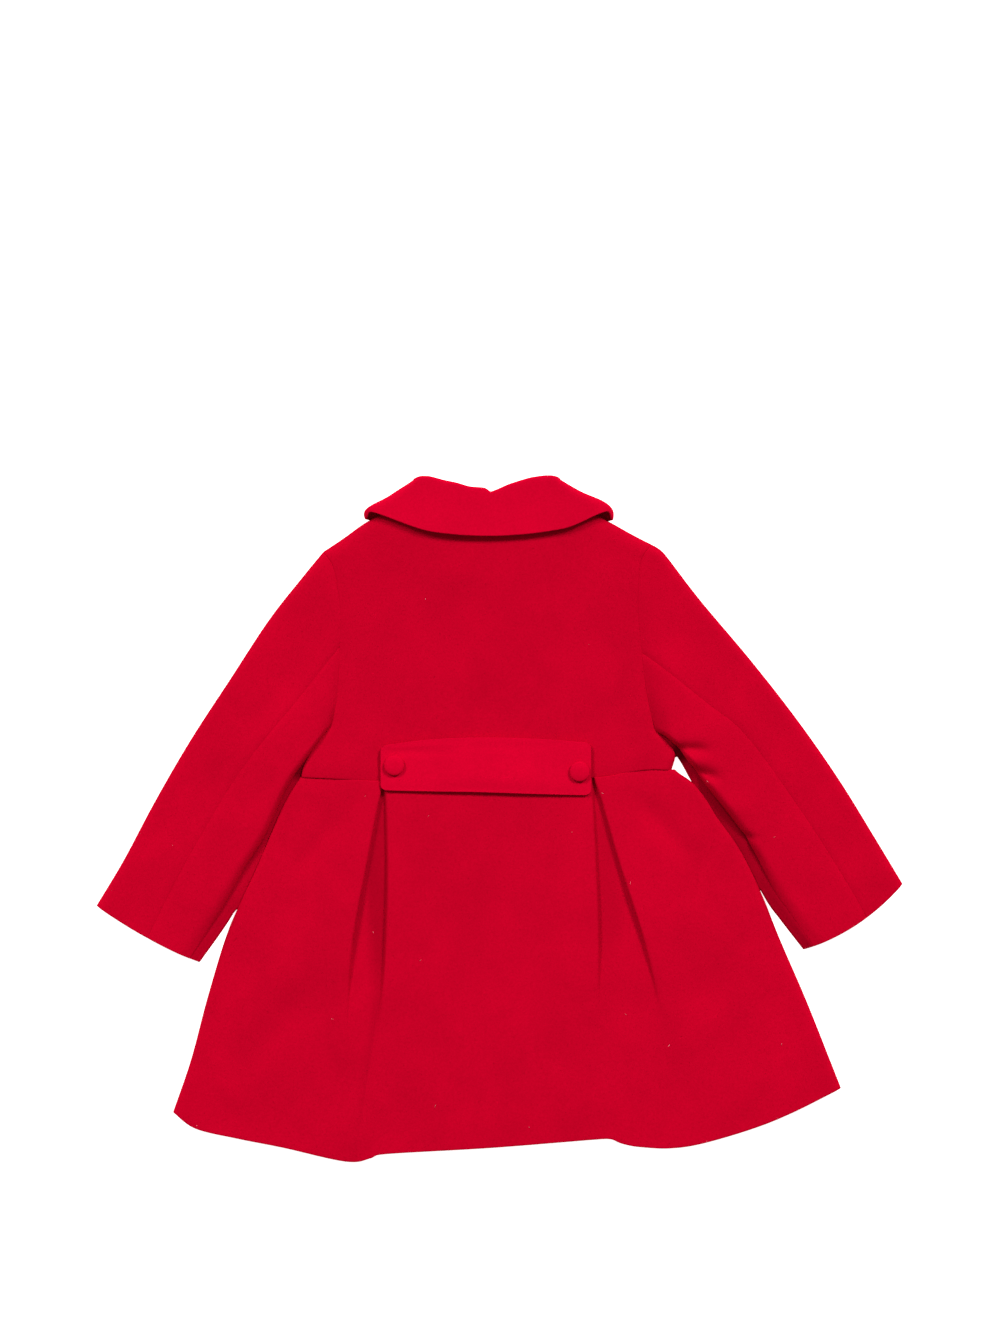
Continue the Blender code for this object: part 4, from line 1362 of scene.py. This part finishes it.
def monotone(knots: tuple[float, ...], values: tuple[float, ...], where: float) -> float:
    """Smooth value through a table that never overshoots its rows.

    Args:
        knots: Where the rows stand.
        values: The value of each row.
        where: Where it is read.

    Returns:
        The value there.
    """
    x, y = np.array(knots), np.array(values)
    step = np.diff(x)
    slope = np.diff(y) / step
    product, total = slope[:-1] * slope[1:], slope[:-1] + slope[1:]
    inner = np.where(product > 0.0, 2.0 * product / np.where(product > 0.0, total, 1.0), 0.0)
    lean = np.concatenate([[slope[0]], inner, [slope[-1]]])
    k = int(np.clip(np.searchsorted(x, where) - 1, 0, len(step) - 1))
    t = (where - x[k]) / step[k]
    return float((1.0 + 2.0 * t) * (1.0 - t) ** 2 * y[k] + t * (1.0 - t) ** 2 * step[k] * lean[k]
                 + t * t * (3.0 - 2.0 * t) * y[k + 1] + t * t * (t - 1.0) * step[k] * lean[k + 1])


@dataclass(frozen=True)
class Pleat:
    """Fold lines of an inverted pleat and how sharply each turns under, row by row from waist to hem.

    The tone is how strongly shade is painted on the underlay inside it, and the fade is where down the skirt that
    painted shade dies out.
    """

    side_x: tuple[float, ...]
    centre_x: tuple[float, ...]
    side_turn: tuple[float, ...]
    side_leg: tuple[float, ...]
    centre_turn: tuple[float, ...]
    centre_leg: tuple[float, ...]
    tone: float
    fade: Span


SKIRT_ROWS = (0.0, 0.25, 0.48, 0.62, 0.8, 1.0)
PLEATS = {
    Side.LEFT: Pleat(
        (-86.6, -99.9, -110.6, -112.9, -115.0, -116.5), (-86.0, -84.2, -86.0, -90.0, -98.0, -106.1),
        (180.0, 174.0, 108.0, 60.0, 40.0, 28.0), (14.0, 7.0, 1.2, 0.6, 0.8, 1.5),
        (78.0, 78.0, 74.0, 68.0, 58.0, 46.0), (0.3, 1.8, 2.4, 1.8, 1.2, 1.5),
        tone=0.72, fade=(0.5, 1.2),
    ),
    Side.RIGHT: Pleat(
        (70.2, 89.0, 109.0, 118.0, 130.0, 142.9), (69.2, 72.6, 74.6, 74.6, 73.4, 70.9),
        (180.0, 174.0, 118.0, 62.0, 40.0, 24.0), (14.0, 7.0, 0.8, 0.6, 1.5, 3.0),
        (76.0, 76.0, 70.0, 60.0, 38.0, 20.0), (0.3, 1.6, 2.2, 1.4, 1.2, 2.5),
        tone=0.28, fade=(0.3, 0.9),
    ),
}


@dataclass
class PleatWalk:
    """Traces a pleat's section as a walk of turns and straight runs."""

    x: float
    z: float
    heading: float = 0.0
    points: list[tuple[float, float]] = field(default_factory=list)
    tight: float = 0.98
    softer: float = 1.7
    opening: float = 1.5
    bend_steps: int = 8

    def radius(self, turn: float) -> float:
        """Radius of a fold: tight when folded flat, softer as it opens."""
        return self.tight + self.softer * (1.0 - abs(turn) / HALF_TURN) ** self.opening

    def bend(self, total: float) -> None:
        """Turn by an angle in degrees along a rounded fold.

        Args:
            total: The angle, negative to turn down.
        """
        step = math.radians(total) / self.bend_steps
        run = 2.0 * self.radius(total) * math.sin(abs(step) / 2.0)
        for _ in range(self.bend_steps):
            self.heading += step / 2.0
            self.go(run, 1)
            self.heading += step / 2.0

    def go(self, run: float, steps: int) -> None:
        """Walk straight on.

        Args:
            run: How far.
            steps: Points along the way.
        """
        for _ in range(steps):
            self.x += run / steps * math.cos(self.heading)
            self.z += run / steps * math.sin(self.heading)
            self.points.append((self.x, self.z))

    def depth(self, turn: float, leg: float) -> float:
        """How far below its panel a fold takes the cloth."""
        a = math.radians(turn)
        return 2.0 * self.radius(turn) * (1.0 - math.cos(a)) + leg * math.sin(a)

    def reach(self, turn: float) -> float:
        """How far a fold's outer face stands out from where it starts to turn."""
        return self.radius(turn) * math.sin(math.radians(min(turn, RIGHT_ANGLE))) + 0.5 * CLOTH


@dataclass
class BackSkirt(ClothPiece):
    """Back skirt in one width: side panels, two inverted pleats and the centre panel between them.

    Heights run from waist to hem as the pleats' rows do, and a name in _v is a share of that way.
    """

    centre_z: tuple[float, ...] = (7.8, 9.6, 10.6, 10.2, 9.2, 6.8)
    seam_z: tuple[float, ...] = (6.2, 6.5, 6.6, 6.6, 6.2, 5.6)
    centre_dip: tuple[float, ...] = (0.5, 2.4, 3.4, 3.0, 1.8, 0.6)
    dip_width: float = 0.8
    edge_z: float = 3.2
    tuck_lift: float = 2.1
    side_roll: float = 4.5
    ramp: Span = (0.35, 1.0)
    relaxed: float = 130.0
    relaxed_v: Span = (0.42, 0.95)
    relaxed_step: float = 0.25
    firm: int = 9
    waist_dip: float = 0.5
    waist_dip_v: float = 0.035
    # Shade painted on each pleat's underlay: where across it starts, how softly it comes in and where it stops.
    under_v: Span = (0.25, 0.6)
    under_start: Span = (0.0, 0.5)
    under_soft: float = 0.2
    under_end: Span = (0.92, 1.02)
    rows: int = 52
    side_count: int = 30
    side_lean: float = 1.5
    centre_count: int = 40
    leg_count: int = 2
    under_count: int = 6
    fold_from: Span = (4.0, 26.0)
    fold_start_v: Span = (0.02, 0.12)
    fold_end_v: Span = (0.9, 1.0)
    swelling: tuple[float, float, float] = (96.0, 0.6, 3.1)
    folds: tuple[Fold, ...] = (
        Fold((-116.0, 6.0), (-150.0, -38.0), 9.0, -2.0),
        Fold((-142.0, -128.0), (-198.0, -196.0), 11.0, -1.6),
        Fold((102.0, 18.0), (143.0, -31.0), 9.0, -2.3),
        Fold((150.0, -96.0), (186.0, -176.0), 12.0, -1.0),
        Fold((-148.0, -70.0), (-170.0, -140.0), 14.0, 1.0),
        Fold((128.0, -44.0), (160.0, -110.0), 14.0, 1.0),
    )

    def painted_fold_shade(self, points: Array, normals: Array) -> Array:
        """Painted shade on the pleats' underlays, which narrows to the centre folds lower down.

        Args:
            points: Points of the skirt, in millimetres.
            normals: The way the skirt looks at each point; not used.

        Returns:
            A share for each point.
        """
        waist, hem = LINES.waist[WAIST_MIDDLE][1], LINES.hem[HEM_MIDDLE][1]
        v = (waist - points[:, 1]) / (waist - hem)
        total = np.zeros(len(points))
        for pleat in PLEATS.values():
            side_x, centre_x = (np.interp(v, SKIRT_ROWS, xs) for xs in (pleat.side_x, pleat.centre_x))
            across = (points[:, 0] - side_x) / (centre_x - side_x)
            start = np.interp(v, self.under_v, self.under_start)
            inside = ease((across - start) / (self.under_soft + start), 0.0, 1.0)
            inside = inside * (1.0 - ease(across, *self.under_end))
            total += pleat.tone * inside * (1.0 - ease(v, *pleat.fade))
        return total

    def pleat(self, side: Side, v: float, centre_z: float) -> tuple[Array, float]:
        """Section of one pleat, from its first panel to its second.

        Args:
            side: The pleat's hand.
            v: Share from waist to hem.
            centre_z: Height of the centre panel at its fold.

        Returns:
            The section's (x, z) points, and the height of the side panel at its fold.
        """
        row = PLEATS[side]
        tables = (row.side_turn, row.side_leg, row.centre_turn, row.centre_leg, row.side_x, row.centre_x)
        side_turn, side_leg, centre_turn, centre_leg, side_x, centre_x = (
            monotone(SKIRT_ROWS, values, v) for values in tables
        )
        walk = PleatWalk(0.0, 0.0)
        side_z = centre_z - walk.depth(centre_turn, centre_leg) + walk.depth(side_turn, side_leg)
        ends = [side_x + side.sign * walk.reach(side_turn), centre_x - side.sign * walk.reach(centre_turn)]
        legs = [(side_turn, side_leg), (centre_turn, centre_leg)]
        heights = [side_z, centre_z]
        if side is Side.RIGHT:
            ends.reverse()
            legs.reverse()
            heights.reverse()
        (first_turn, first_leg), (last_turn, last_leg) = legs
        width = 0.0
        for _ in range(2):
            walk = PleatWalk(ends[0], heights[0], points=[(ends[0], heights[0])])
            walk.bend(-first_turn)
            walk.go(first_leg, self.leg_count)
            walk.bend(first_turn)
            walk.go(width, self.under_count)
            walk.bend(last_turn)
            walk.go(last_leg, self.leg_count)
            walk.bend(-last_turn)
            width += ends[1] - walk.x
        return np.array(walk.points), side_z

    def section(self, v: float, left_x: float, right_x: float, tucks: dict[Side, float]) -> Array:
        """Cross-section of the skirt.

        Args:
            v: Share from waist to hem.
            left_x: X of the left side seam.
            right_x: X of the right side seam.
            tucks: Share by which each sleeve's band lies under the side edge.

        Returns:
            The section's (x, z) points from left to right.
        """
        centre_z, seam_z, dip = (
            monotone(SKIRT_ROWS, values, v) for values in (self.centre_z, self.seam_z, self.centre_dip)
        )
        shares = leaning(self.side_count, self.side_lean)
        pleats, panels = {}, {}
        for side, edge in ((Side.LEFT, left_x), (Side.RIGHT, right_x)):
            pleats[side], side_z = self.pleat(side, v, centre_z)
            fold_x = pleats[side][0 if side is Side.LEFT else -1, 0]
            xs = edge + (fold_x - edge) * shares
            ramp = seam_z + (side_z - seam_z) * ease(shares, *self.ramp)
            edge_z = self.edge_z + self.tuck_lift * tucks[side]
            zs = edge_z + (ramp - edge_z) * rolled(np.abs(xs - edge), self.side_roll)
            panels[side] = np.stack([xs, zs], axis=1)[:-1]
        start, stop = pleats[Side.LEFT][-1], pleats[Side.RIGHT][0]
        across = even(self.centre_count)[1:-1]
        centre = start + (stop - start) * across[:, None]
        centre[:, 1] -= dip * ease(1.0 - np.abs(2.0 * across - 1.0), 0.0, self.dip_width)
        section = np.vstack(
            [panels[Side.LEFT], pleats[Side.LEFT], centre, pleats[Side.RIGHT], panels[Side.RIGHT][::-1]]
        )
        k = self.firm
        for _ in range(int(self.relaxed * float(ease(v, *self.relaxed_v)))):
            bend = section[k - 1:-k - 1] - 2.0 * section[k:-k] + section[k + 1:1 - k]
            section[k:-k] += self.relaxed_step * bend
        return section

    def grid(self) -> Array:
        """Points of the skirt, rows by columns, in millimetres.

        Returns:
            The grid.
        """
        waist, hem = LINES.skirt_waist(), LINES.line("hem")
        left, right = (at(LINES.line("skirt", side), even(self.rows)) for side in Side)
        left[0], right[0] = waist[0], waist[-1]
        rows = []
        for j, v in enumerate(even(self.rows)):
            tucks = {side: float(LINES.tuck(side, edge[j, 1])) for side, edge in zip(Side, (left, right))}
            section = self.section(float(v), left[j, 0], right[j, 0], tucks)
            s = (section[:, 0] - left[j, 0]) / (right[j, 0] - left[j, 0])
            waist_y, hem_y = (
                np.interp(s, (line[:, 0] - line[0, 0]) / (line[-1, 0] - line[0, 0]), line[:, 1])
                for line in (waist, hem)
            )
            edge_y = left[j, 1] + (right[j, 1] - left[j, 1]) * s
            ends = ((1.0 - v) * (waist[0, 1] + (waist[-1, 1] - waist[0, 1]) * s)
                    + v * (hem[0, 1] + (hem[-1, 1] - hem[0, 1]) * s))
            plan = np.stack([section[:, 0], (1.0 - v) * waist_y + v * hem_y + edge_y - ends], axis=1)
            off = np.minimum(section[:, 0] - left[j, 0], right[j, 0] - section[:, 0])
            inner = ease(off, *self.fold_from)
            inner = inner * float(ease(v, *self.fold_start_v)) * (1.0 - float(ease(v, *self.fold_end_v)))
            z = section[:, 1] + inner * (folded(plan, self.folds) + swell(plan, *self.swelling))
            z = z - self.waist_dip * (1.0 - float(ease(v, 0.0, self.waist_dip_v)))
            rows.append(lifted(plan, z))
        return np.array(rows)


def belt_floor(y: Array | float) -> Array:
    """Height of the belt's underside, a seam's gap above the bodice and the skirt's top."""
    return np.interp(y, BELT_FLOOR_Y, BELT_FLOOR_Z) + SEAM


@dataclass
class HalfBelt(ClothPiece):
    """Half belt buttoned across the back waist, a faced strip with turned corners."""

    top_edge: Table = ((-88.9, 54.8), (-52.0, 59.5), (-14.6, 61.0), (28.0, 60.0), (68.6, 57.0))
    bottom_edge: Table = ((-88.9, 21.4), (-52.0, 20.6), (-14.6, 20.0), (28.0, 18.6), (68.6, 17.6))
    middle: int = 2
    corner: float = 5.0
    corner_shares: tuple[float, ...] = (0.0, 0.12, 0.3, 0.5, 0.72, 1.0)
    long_count: int = 44
    short_count: int = 10
    loose_from: Span = (1.0, 8.0)
    puff: float = 0.35
    folds: tuple[Fold, ...] = (
        Fold((-102.0, 50.6), (-38.0, 50.4), 2.4, -0.9),
        Fold((-30.0, 54.5), (40.0, 54.0), 2.6, -0.5),
        Fold((-40.0, 33.0), (36.0, 31.0), 9.0, 0.6),
    )

    def steps(self, size: float, count: int) -> Array:
        """Distances along one side from its middle, crowded into the corners.

        Args:
            size: The side's length.
            count: Stretches between the corners.

        Returns:
            The distances.
        """
        near = np.array(self.corner_shares) * self.corner / size
        between = np.linspace(near[-1], 1.0 - near[-1], count + 1)[1:-1]
        return (np.concatenate([near, between, 1.0 - near[::-1]]) - 0.5) * size

    def grid(self) -> Array:
        """Points of the belt, rows by columns, in millimetres.

        Returns:
            The grid.
        """
        length = self.top_edge[-1][0] - self.top_edge[0][0]
        height = self.top_edge[self.middle][1] - self.bottom_edge[self.middle][1]
        px, py = np.meshgrid(self.steps(length, self.long_count), self.steps(height, self.short_count))
        qx = np.maximum(np.abs(px) - (0.5 * length - self.corner), 0.0)
        qy = np.maximum(np.abs(py) - (0.5 * height - self.corner), 0.0)
        rounded = np.maximum(qx, qy) / np.maximum(np.hypot(qx, qy), TINY)
        turned = np.where((qx > 0.0) & (qy > 0.0), rounded, 1.0)
        u = np.sign(px) * (np.abs(px) - qx + qx * turned) / length + 0.5
        v = np.sign(py) * (np.abs(py) - qy + qy * turned) / height + 0.5
        upper, lower = (
            at(curve(edge), u.ravel()).reshape(u.shape + (2,)) for edge in (self.top_edge, self.bottom_edge)
        )
        plan = upper + (lower - upper) * v[..., None]
        edge = np.minimum(np.minimum(u, 1.0 - u) * length, np.minimum(v, 1.0 - v) * height)
        loose = ease(edge, *self.loose_from)
        z = belt_floor(plan[..., 1]) + self.thickness + loose * (self.puff + folded(plan, self.folds))
        return lifted(plan, z)


@dataclass
class CoveredButton:
    """Domed button covered in the coat's cloth, its edge gathered under."""

    node: str
    centre: tuple[float, float]
    slot: str = "button_wool"
    finish: WoolFinish = BELT_WOOL
    radius: float = 7.6
    height: float = 3.7
    shoulder: float = 2.0
    around: int = 48
    under: Table = (
        (0.0, 0.0), (0.4, 0.0), (0.72, 0.0), (0.88, 0.06), (0.95, 0.16), (0.985, 0.26), (1.0, 0.36),
    )
    dome_start: float = 8.0
    dome_count: int = 13
    gather: float = 0.012
    gather_reach: float = 1.1
    gathers: float = 12.0
    unevenness: float = 0.8
    uneven_turns: float = 3.0

    def profile(self) -> Array:
        """Radius and height from the middle of the underside to the crown.

        Returns:
            The profile's points.
        """
        low = [(self.radius * r, self.height * z) for r, z in self.under]
        rise = self.height - self.shoulder
        dome = np.radians(np.linspace(self.dome_start, RIGHT_ANGLE, self.dome_count))
        high = np.stack([self.radius * np.cos(dome), self.shoulder + rise * np.sin(dome)], axis=1)
        return np.vstack([low, high])

    def build(self) -> bpy.types.Object:
        """Turn the profile round the button's axis.

        Returns:
            The finished button, at the origin.
        """
        profile = self.profile()
        base = float(belt_floor(self.centre[1])) + BELT + SEAM
        bm = bmesh.new()
        rings = []
        for r, z in profile[1:-1]:
            gather = self.gather * math.exp(-((z - self.shoulder) / self.gather_reach) ** 2)
            ring = []
            for a in np.linspace(0.0, math.tau, self.around, endpoint=False):
                wave = math.sin(self.gathers * a + self.unevenness * math.sin(self.uneven_turns * a))
                reach = r * (1.0 - gather * (1.0 + wave))
                ring.append(bm.verts.new((
                    (self.centre[0] + reach * math.cos(a)) * MM,
                    (self.centre[1] + reach * math.sin(a)) * MM,
                    (base + z) * MM,
                )))
            rings.append(ring)
        foot, crown = (bm.verts.new((self.centre[0] * MM, self.centre[1] * MM, (base + z) * MM))
                       for z in (profile[0, 1], profile[-1, 1]))
        for k in range(self.around):
            n = (k + 1) % self.around
            bm.faces.new((foot, rings[0][n], rings[0][k]))
            bm.faces.new((crown, rings[-1][k], rings[-1][n]))
            for lower, upper in zip(rings[:-1], rings[1:]):
                bm.faces.new((lower[k], lower[n], upper[n], upper[k]))
        bmesh.ops.recalc_face_normals(bm, faces=bm.faces)
        mesh = bpy.data.meshes.new(f"{self.node}_cover")
        bm.to_mesh(mesh)
        bm.free()
        smooth(mesh)
        mesh.materials.append(self.finish.material())
        return in_scene(f"{self.node}_cover", mesh)

    def dress(self, piece: bpy.types.Object) -> None:
        """Fix the button to the coat's body and hide the solid it stands for.

        Args:
            piece: The built button.
        """
        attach(piece, BODY)
        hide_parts(self.node)


@dataclass(frozen=True)
class LintFinish:
    """Pale, dry fluff that clings to the wool."""

    name: str = "pale_lint"
    colour: Colour = (0.86, 0.34, 0.38)
    roughness: float = 0.9

    def material(self) -> bpy.types.Material:
        """Node material of the fluff."""
        return shaded(self.name, {"Base Color": (*self.colour, 1.0), "Roughness": self.roughness})


SCATTER_INPUTS = (
    ("Geometry", "Geometry"), ("Density", "Float"), ("Length", "Float"), ("Thickness", "Float"),
    ("Least Lean", "Float"), ("Most Lean", "Float"), ("Lowest", "Float"), ("Facing", "Float"),
    ("Seed", "Int"), ("Finish", "Material"),
)


@dataclass
class LooseFibre:
    """Short fibre standing off the cloth's outer faces, scattered by a node tree; sizes in metres."""

    name: str
    finish: WoolFinish | LintFinish
    density: float
    length: float
    thickness: float
    lean: Span
    seed: int
    lowest: float = 0.0025
    facing: float = -0.25
    sides: int = 3
    least_scale: tuple[float, float, float] = (0.7, 0.7, 0.45)
    most_scale: tuple[float, float, float] = (1.2, 1.2, 1.2)
    slot: str = "coat_wool"

    def tree(self) -> bpy.types.NodeTree:
        """Node tree that scatters three-sided fibres over the faces that look up or outwards.

        Returns:
            The tree, with named inputs for its sizes.
        """
        tree = bpy.data.node_groups.new(f"{self.name}_scatter", "GeometryNodeTree")
        for name, kind in SCATTER_INPUTS:
            tree.interface.new_socket(name, in_out="INPUT", socket_type=f"NodeSocket{kind}")
        tree.interface.new_socket("Geometry", in_out="OUTPUT", socket_type="NodeSocketGeometry")
        given = add_node(tree, "NodeGroupInput").outputs

        def above(kind: str, value: str, limit: str) -> bpy.types.NodeSocket:
            """Test whether the Z of a field is above a limit.

            Args:
                kind: Type of the node that gives the field.
                value: The field's name on it.
                limit: Name of the tree's input that sets the limit.

            Returns:
                The test's socket.
            """
            split = add_node(tree, "ShaderNodeSeparateXYZ", {"Vector": add_node(tree, kind).outputs[value]})
            sizes = {"A": split.outputs["Z"], "B": given[limit]}
            return add_node(tree, "FunctionNodeCompare", sizes, operation="GREATER_THAN").outputs["Result"]

        chosen = add_node(tree, "FunctionNodeBooleanMath", {
            0: above("GeometryNodeInputNormal", "Normal", "Facing"),
            1: above("GeometryNodeInputPosition", "Position", "Lowest"),
        }, operation="AND")
        points = add_node(tree, "GeometryNodeDistributePointsOnFaces", {
            "Mesh": given["Geometry"], "Selection": chosen.outputs["Boolean"],
            "Density": given["Density"], "Seed": given["Seed"],
        })
        fibre = add_node(tree, "GeometryNodeMeshCone", {
            "Vertices": self.sides, "Radius Top": 0.0,
            "Radius Bottom": given["Thickness"], "Depth": given["Length"],
        }, fill_type="NONE")
        low = add_node(tree, "ShaderNodeCombineXYZ", {"X": given["Least Lean"]})
        high = add_node(tree, "ShaderNodeCombineXYZ", {"X": given["Most Lean"], "Z": math.tau})
        lean = add_node(tree, "FunctionNodeRandomValue", {
            "Min": low.outputs["Vector"], "Max": high.outputs["Vector"], "Seed": given["Seed"],
        }, data_type="FLOAT_VECTOR")
        angle = add_node(tree, "FunctionNodeEulerToRotation", {"Euler": lean.outputs["Value"]})
        turned = add_node(tree, "FunctionNodeRotateRotation", {
            "Rotation": points.outputs["Rotation"], "Rotate By": angle.outputs["Rotation"],
        }, rotation_space="LOCAL")
        size = add_node(tree, "FunctionNodeRandomValue", {
            "Min": self.least_scale, "Max": self.most_scale, "Seed": given["Seed"],
        }, data_type="FLOAT_VECTOR")
        placed = add_node(tree, "GeometryNodeInstanceOnPoints", {
            "Points": points.outputs["Points"], "Instance": fibre.outputs["Mesh"],
            "Rotation": turned.outputs["Rotation"], "Scale": size.outputs["Value"],
        })
        real = add_node(tree, "GeometryNodeRealizeInstances", {"Geometry": placed.outputs["Instances"]})
        dyed = add_node(tree, "GeometryNodeSetMaterial", {
            "Geometry": real.outputs["Geometry"], "Material": given["Finish"],
        })
        add_node(tree, "NodeGroupOutput", {"Geometry": dyed.outputs["Geometry"]})
        return tree

    def build(self, pieces: list[bpy.types.Object]) -> bpy.types.Object:
        """Scatter the fibre over some pieces.

        Args:
            pieces: The pieces of cloth it stands on.

        Returns:
            The fibre, in one plain mesh at the origin.
        """
        bm = bmesh.new()
        for piece in pieces:
            bm.from_mesh(piece.data)
        ground = bpy.data.meshes.new(f"{self.name}_ground")
        bm.to_mesh(ground)
        bm.free()
        fibre = in_scene(self.name, ground)
        tree = self.tree()
        values = {
            "Density": self.density, "Length": self.length, "Thickness": self.thickness,
            "Least Lean": self.lean[0], "Most Lean": self.lean[1], "Lowest": self.lowest,
            "Facing": self.facing, "Seed": self.seed, "Finish": self.finish.material(),
        }
        scatter = fibre.modifiers.new("scatter", "NODES")
        scatter.node_group = tree
        for socket in tree.interface.items_tree:
            if socket.in_out == "INPUT" and socket.name in values:
                scatter[socket.identifier] = values[socket.name]
        settle(fibre)
        bpy.data.meshes.remove(ground)
        return fibre

    def dress(self, fibre: bpy.types.Object) -> None:
        """Fix the fibre to the coat."""
        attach(fibre, BODY)


def coat_fibres() -> list[LooseFibre]:
    """The nap of the wool and the few specks of fluff on it."""
    return [
        LooseFibre(
            "wool_nap", COAT_WOOL, density=1.5e5, length=0.0011, thickness=0.00006, lean=(0.35, 1.3), seed=7,
        ),
        LooseFibre(
            "lint_specks", LintFinish(), density=130.0, length=0.0021, thickness=0.0002, lean=(1.2, 1.5),
            seed=11, facing=0.6,
        ),
    ]


@dataclass(frozen=True)
class Lamp:
    """Broad, far lamp that lights the whole floor evenly, with the way to it and the degrees it fills."""

    name: str
    towards: tuple[float, float, float]
    strength: float
    spread: float = 16.0

    def build(self) -> None:
        """Hang the lamp."""
        data = bpy.data.lights.new(self.name, "SUN")
        data.angle = math.radians(self.spread)
        data.energy = self.strength
        lamp = in_scene(self.name, data)
        lamp.rotation_euler = Vector(self.towards).to_track_quat("Z", "Y").to_euler()


@dataclass
class Studio:
    """Pale floor, soft light from the collar's end and a camera straight above; sizes in metres."""

    finish: FloorFinish = FloorFinish()
    floor_size: float = 6.0
    floor_z: float = -0.0002
    sky: float = 0.30
    frame_height: float = 0.9975
    aim: tuple[float, float, float] = (0.0004, 0.1136, 0.008)
    lens: float = 85.0
    sensor: float = 36.0
    lamps: tuple[Lamp, ...] = (
        Lamp("right_lamp", (0.6, 0.72, 0.84), 2.55),
        Lamp("left_lamp", (-0.66, 0.7, 0.84), 1.95),
    )

    def floor(self) -> None:
        """Lay the floor and mark it as stage."""
        half = 0.5 * self.floor_size
        mesh = bpy.data.meshes.new("floor")
        corners = [(-half, -half), (half, -half), (half, half), (-half, half)]
        mesh.from_pydata([(x, y, self.floor_z) for x, y in corners], [], [(0, 1, 2, 3)])
        mesh.materials.append(self.finish.material())
        floor = in_scene("floor", mesh)
        floor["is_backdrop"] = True

    def camera(self) -> None:
        """Hang the camera so that the frame's height fills the picture."""
        data = bpy.data.cameras.new("camera")
        data.sensor_fit = "VERTICAL"
        data.sensor_height = self.sensor
        data.lens = self.lens
        camera = in_scene("camera", data)
        x, y, z = self.aim
        camera.location = (x, y, z + self.frame_height * self.lens / self.sensor)
        bpy.context.scene.camera = camera

    def build(self) -> None:
        """Set floor, light and camera."""
        self.floor()
        world = bpy.data.worlds.new("soft_sky")
        world.use_nodes = True
        feed(world.node_tree.nodes["Background"], {"Color": WHITE, "Strength": self.sky})
        bpy.context.scene.world = world
        for lamp in self.lamps:
            lamp.build()
        self.camera()
        bpy.context.scene.view_settings.view_transform = "Standard"


def coat_fronts() -> list[ClothPiece]:
    """The fronts; as the coat lies, the left ones rest on the laps of the right ones.

    Returns:
        The pieces from the floor up.
    """
    fronts: list[ClothPiece] = []
    for side, bodice, skirt in ((Side.RIGHT, 0.0261, 0.0629), (Side.LEFT, 0.0262, 0.0623)):
        cuts = (
            (FrontBodice, "front_bodice", (0.167, 0.211), bodice),
            (FrontSkirt, "skirt_front", (0.278, 0.292), skirt),
        )
        for cut, name, flat, area in cuts:
            under = () if side is Side.RIGHT else (f"{name}_{Side.RIGHT.value}_cloth",)
            fronts.append(cut(
                f"{name}_{side.value}", "coat_wool", COAT_WOOL, flat=flat, area=area,
                rests_on=under, facing=Facing.DOWN, side=side,
            ))
    return fronts


def coat_sleeves() -> list[ClothPiece]:
    """The sleeves, each under sleeve after the top sleeve that it lies on.

    Returns:
        The pieces from the floor up.
    """
    sleeves: list[ClothPiece] = []
    for side, top, strip in ((Side.LEFT, 0.0390, 0.0080), (Side.RIGHT, 0.0388, 0.0100)):
        upper, lower = (Facing.DOWN, Facing.UP) if side is Side.LEFT else (Facing.UP, Facing.DOWN)
        sleeves.append(SleevePiece(
            f"sleeve_{side.value}_top", "coat_wool", COAT_WOOL, flat=(0.165, 0.330), area=top,
            facing=upper, offset=0.0, side=side, part=SleevePart.TOP,
        ))
        sleeves.append(SleevePiece(
            f"sleeve_{side.value}_under", "coat_wool", COAT_WOOL, flat=(0.056, 0.265), area=strip,
            facing=lower, offset=0.0, side=side, part=SleevePart.UNDER,
            rests_on=(f"sleeve_{side.value}_top_cloth",),
        ))
    return sleeves


def coat_pieces() -> list[ClothPiece | CoveredButton]:
    """The coat's pieces in the order they lie, from the floor up.

    Returns:
        The pieces, ready to build.
    """
    backs: list[ClothPiece | CoveredButton] = [
        BackBodice(
            "back_bodice", "coat_wool", COAT_WOOL, flat=(0.281, 0.211), area=0.0454,
            rests_on=("front_bodice_left_cloth", "front_bodice_right_cloth"),
        ),
        BackSkirt(
            "skirt_back", "coat_wool", COAT_WOOL, flat=(0.545, 0.292), area=0.1325, offset=0.0,
            rests_on=("skirt_front_left_cloth", "skirt_front_right_cloth"),
        ),
    ]
    trims: list[ClothPiece | CoveredButton] = [
        Collar(
            "collar", "collar_wool", COLLAR_WOOL, flat=(0.400, 0.056), area=0.0191,
            facing=Facing.DOWN, offset=0.0, rests_on=("back_bodice_cloth",),
        ),
        HalfBelt(
            "half_belt", "belt_wool", BELT_WOOL, flat=(0.160, 0.041), area=0.0062, thickness=BELT,
            rests_on=("back_bodice_cloth", "skirt_back_cloth"),
        ),
        CoveredButton("button_left", (-78.6, 40.2)),
        CoveredButton("button_right", (59.8, 35.6)),
    ]
    return coat_fronts() + backs + coat_sleeves() + trims


def main() -> None:
    """Build the coat over its frame and set the studio round it."""
    logging.basicConfig(level=logging.INFO, format="%(name)s: %(message)s")
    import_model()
    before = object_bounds()
    napped = []
    for part in coat_pieces():
        piece = part.build()
        part.dress(piece)
        LOG.info("%s: %d faces", piece.name, len(piece.data.polygons))
        if isinstance(part, (BackBodice, BackSkirt, SleevePiece)):
            napped.append(piece)
    for loose in coat_fibres():
        fibre = loose.build(napped)
        loose.dress(fibre)
        LOG.info("%s: %d faces", fibre.name, len(fibre.data.polygons))
    Studio().build()
    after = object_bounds()
    sizes = {name: [list(map(float, corner)) for corner in box] for name, box in (("cad", before), ("visual", after))}


if __name__ == "__main__":
    main()
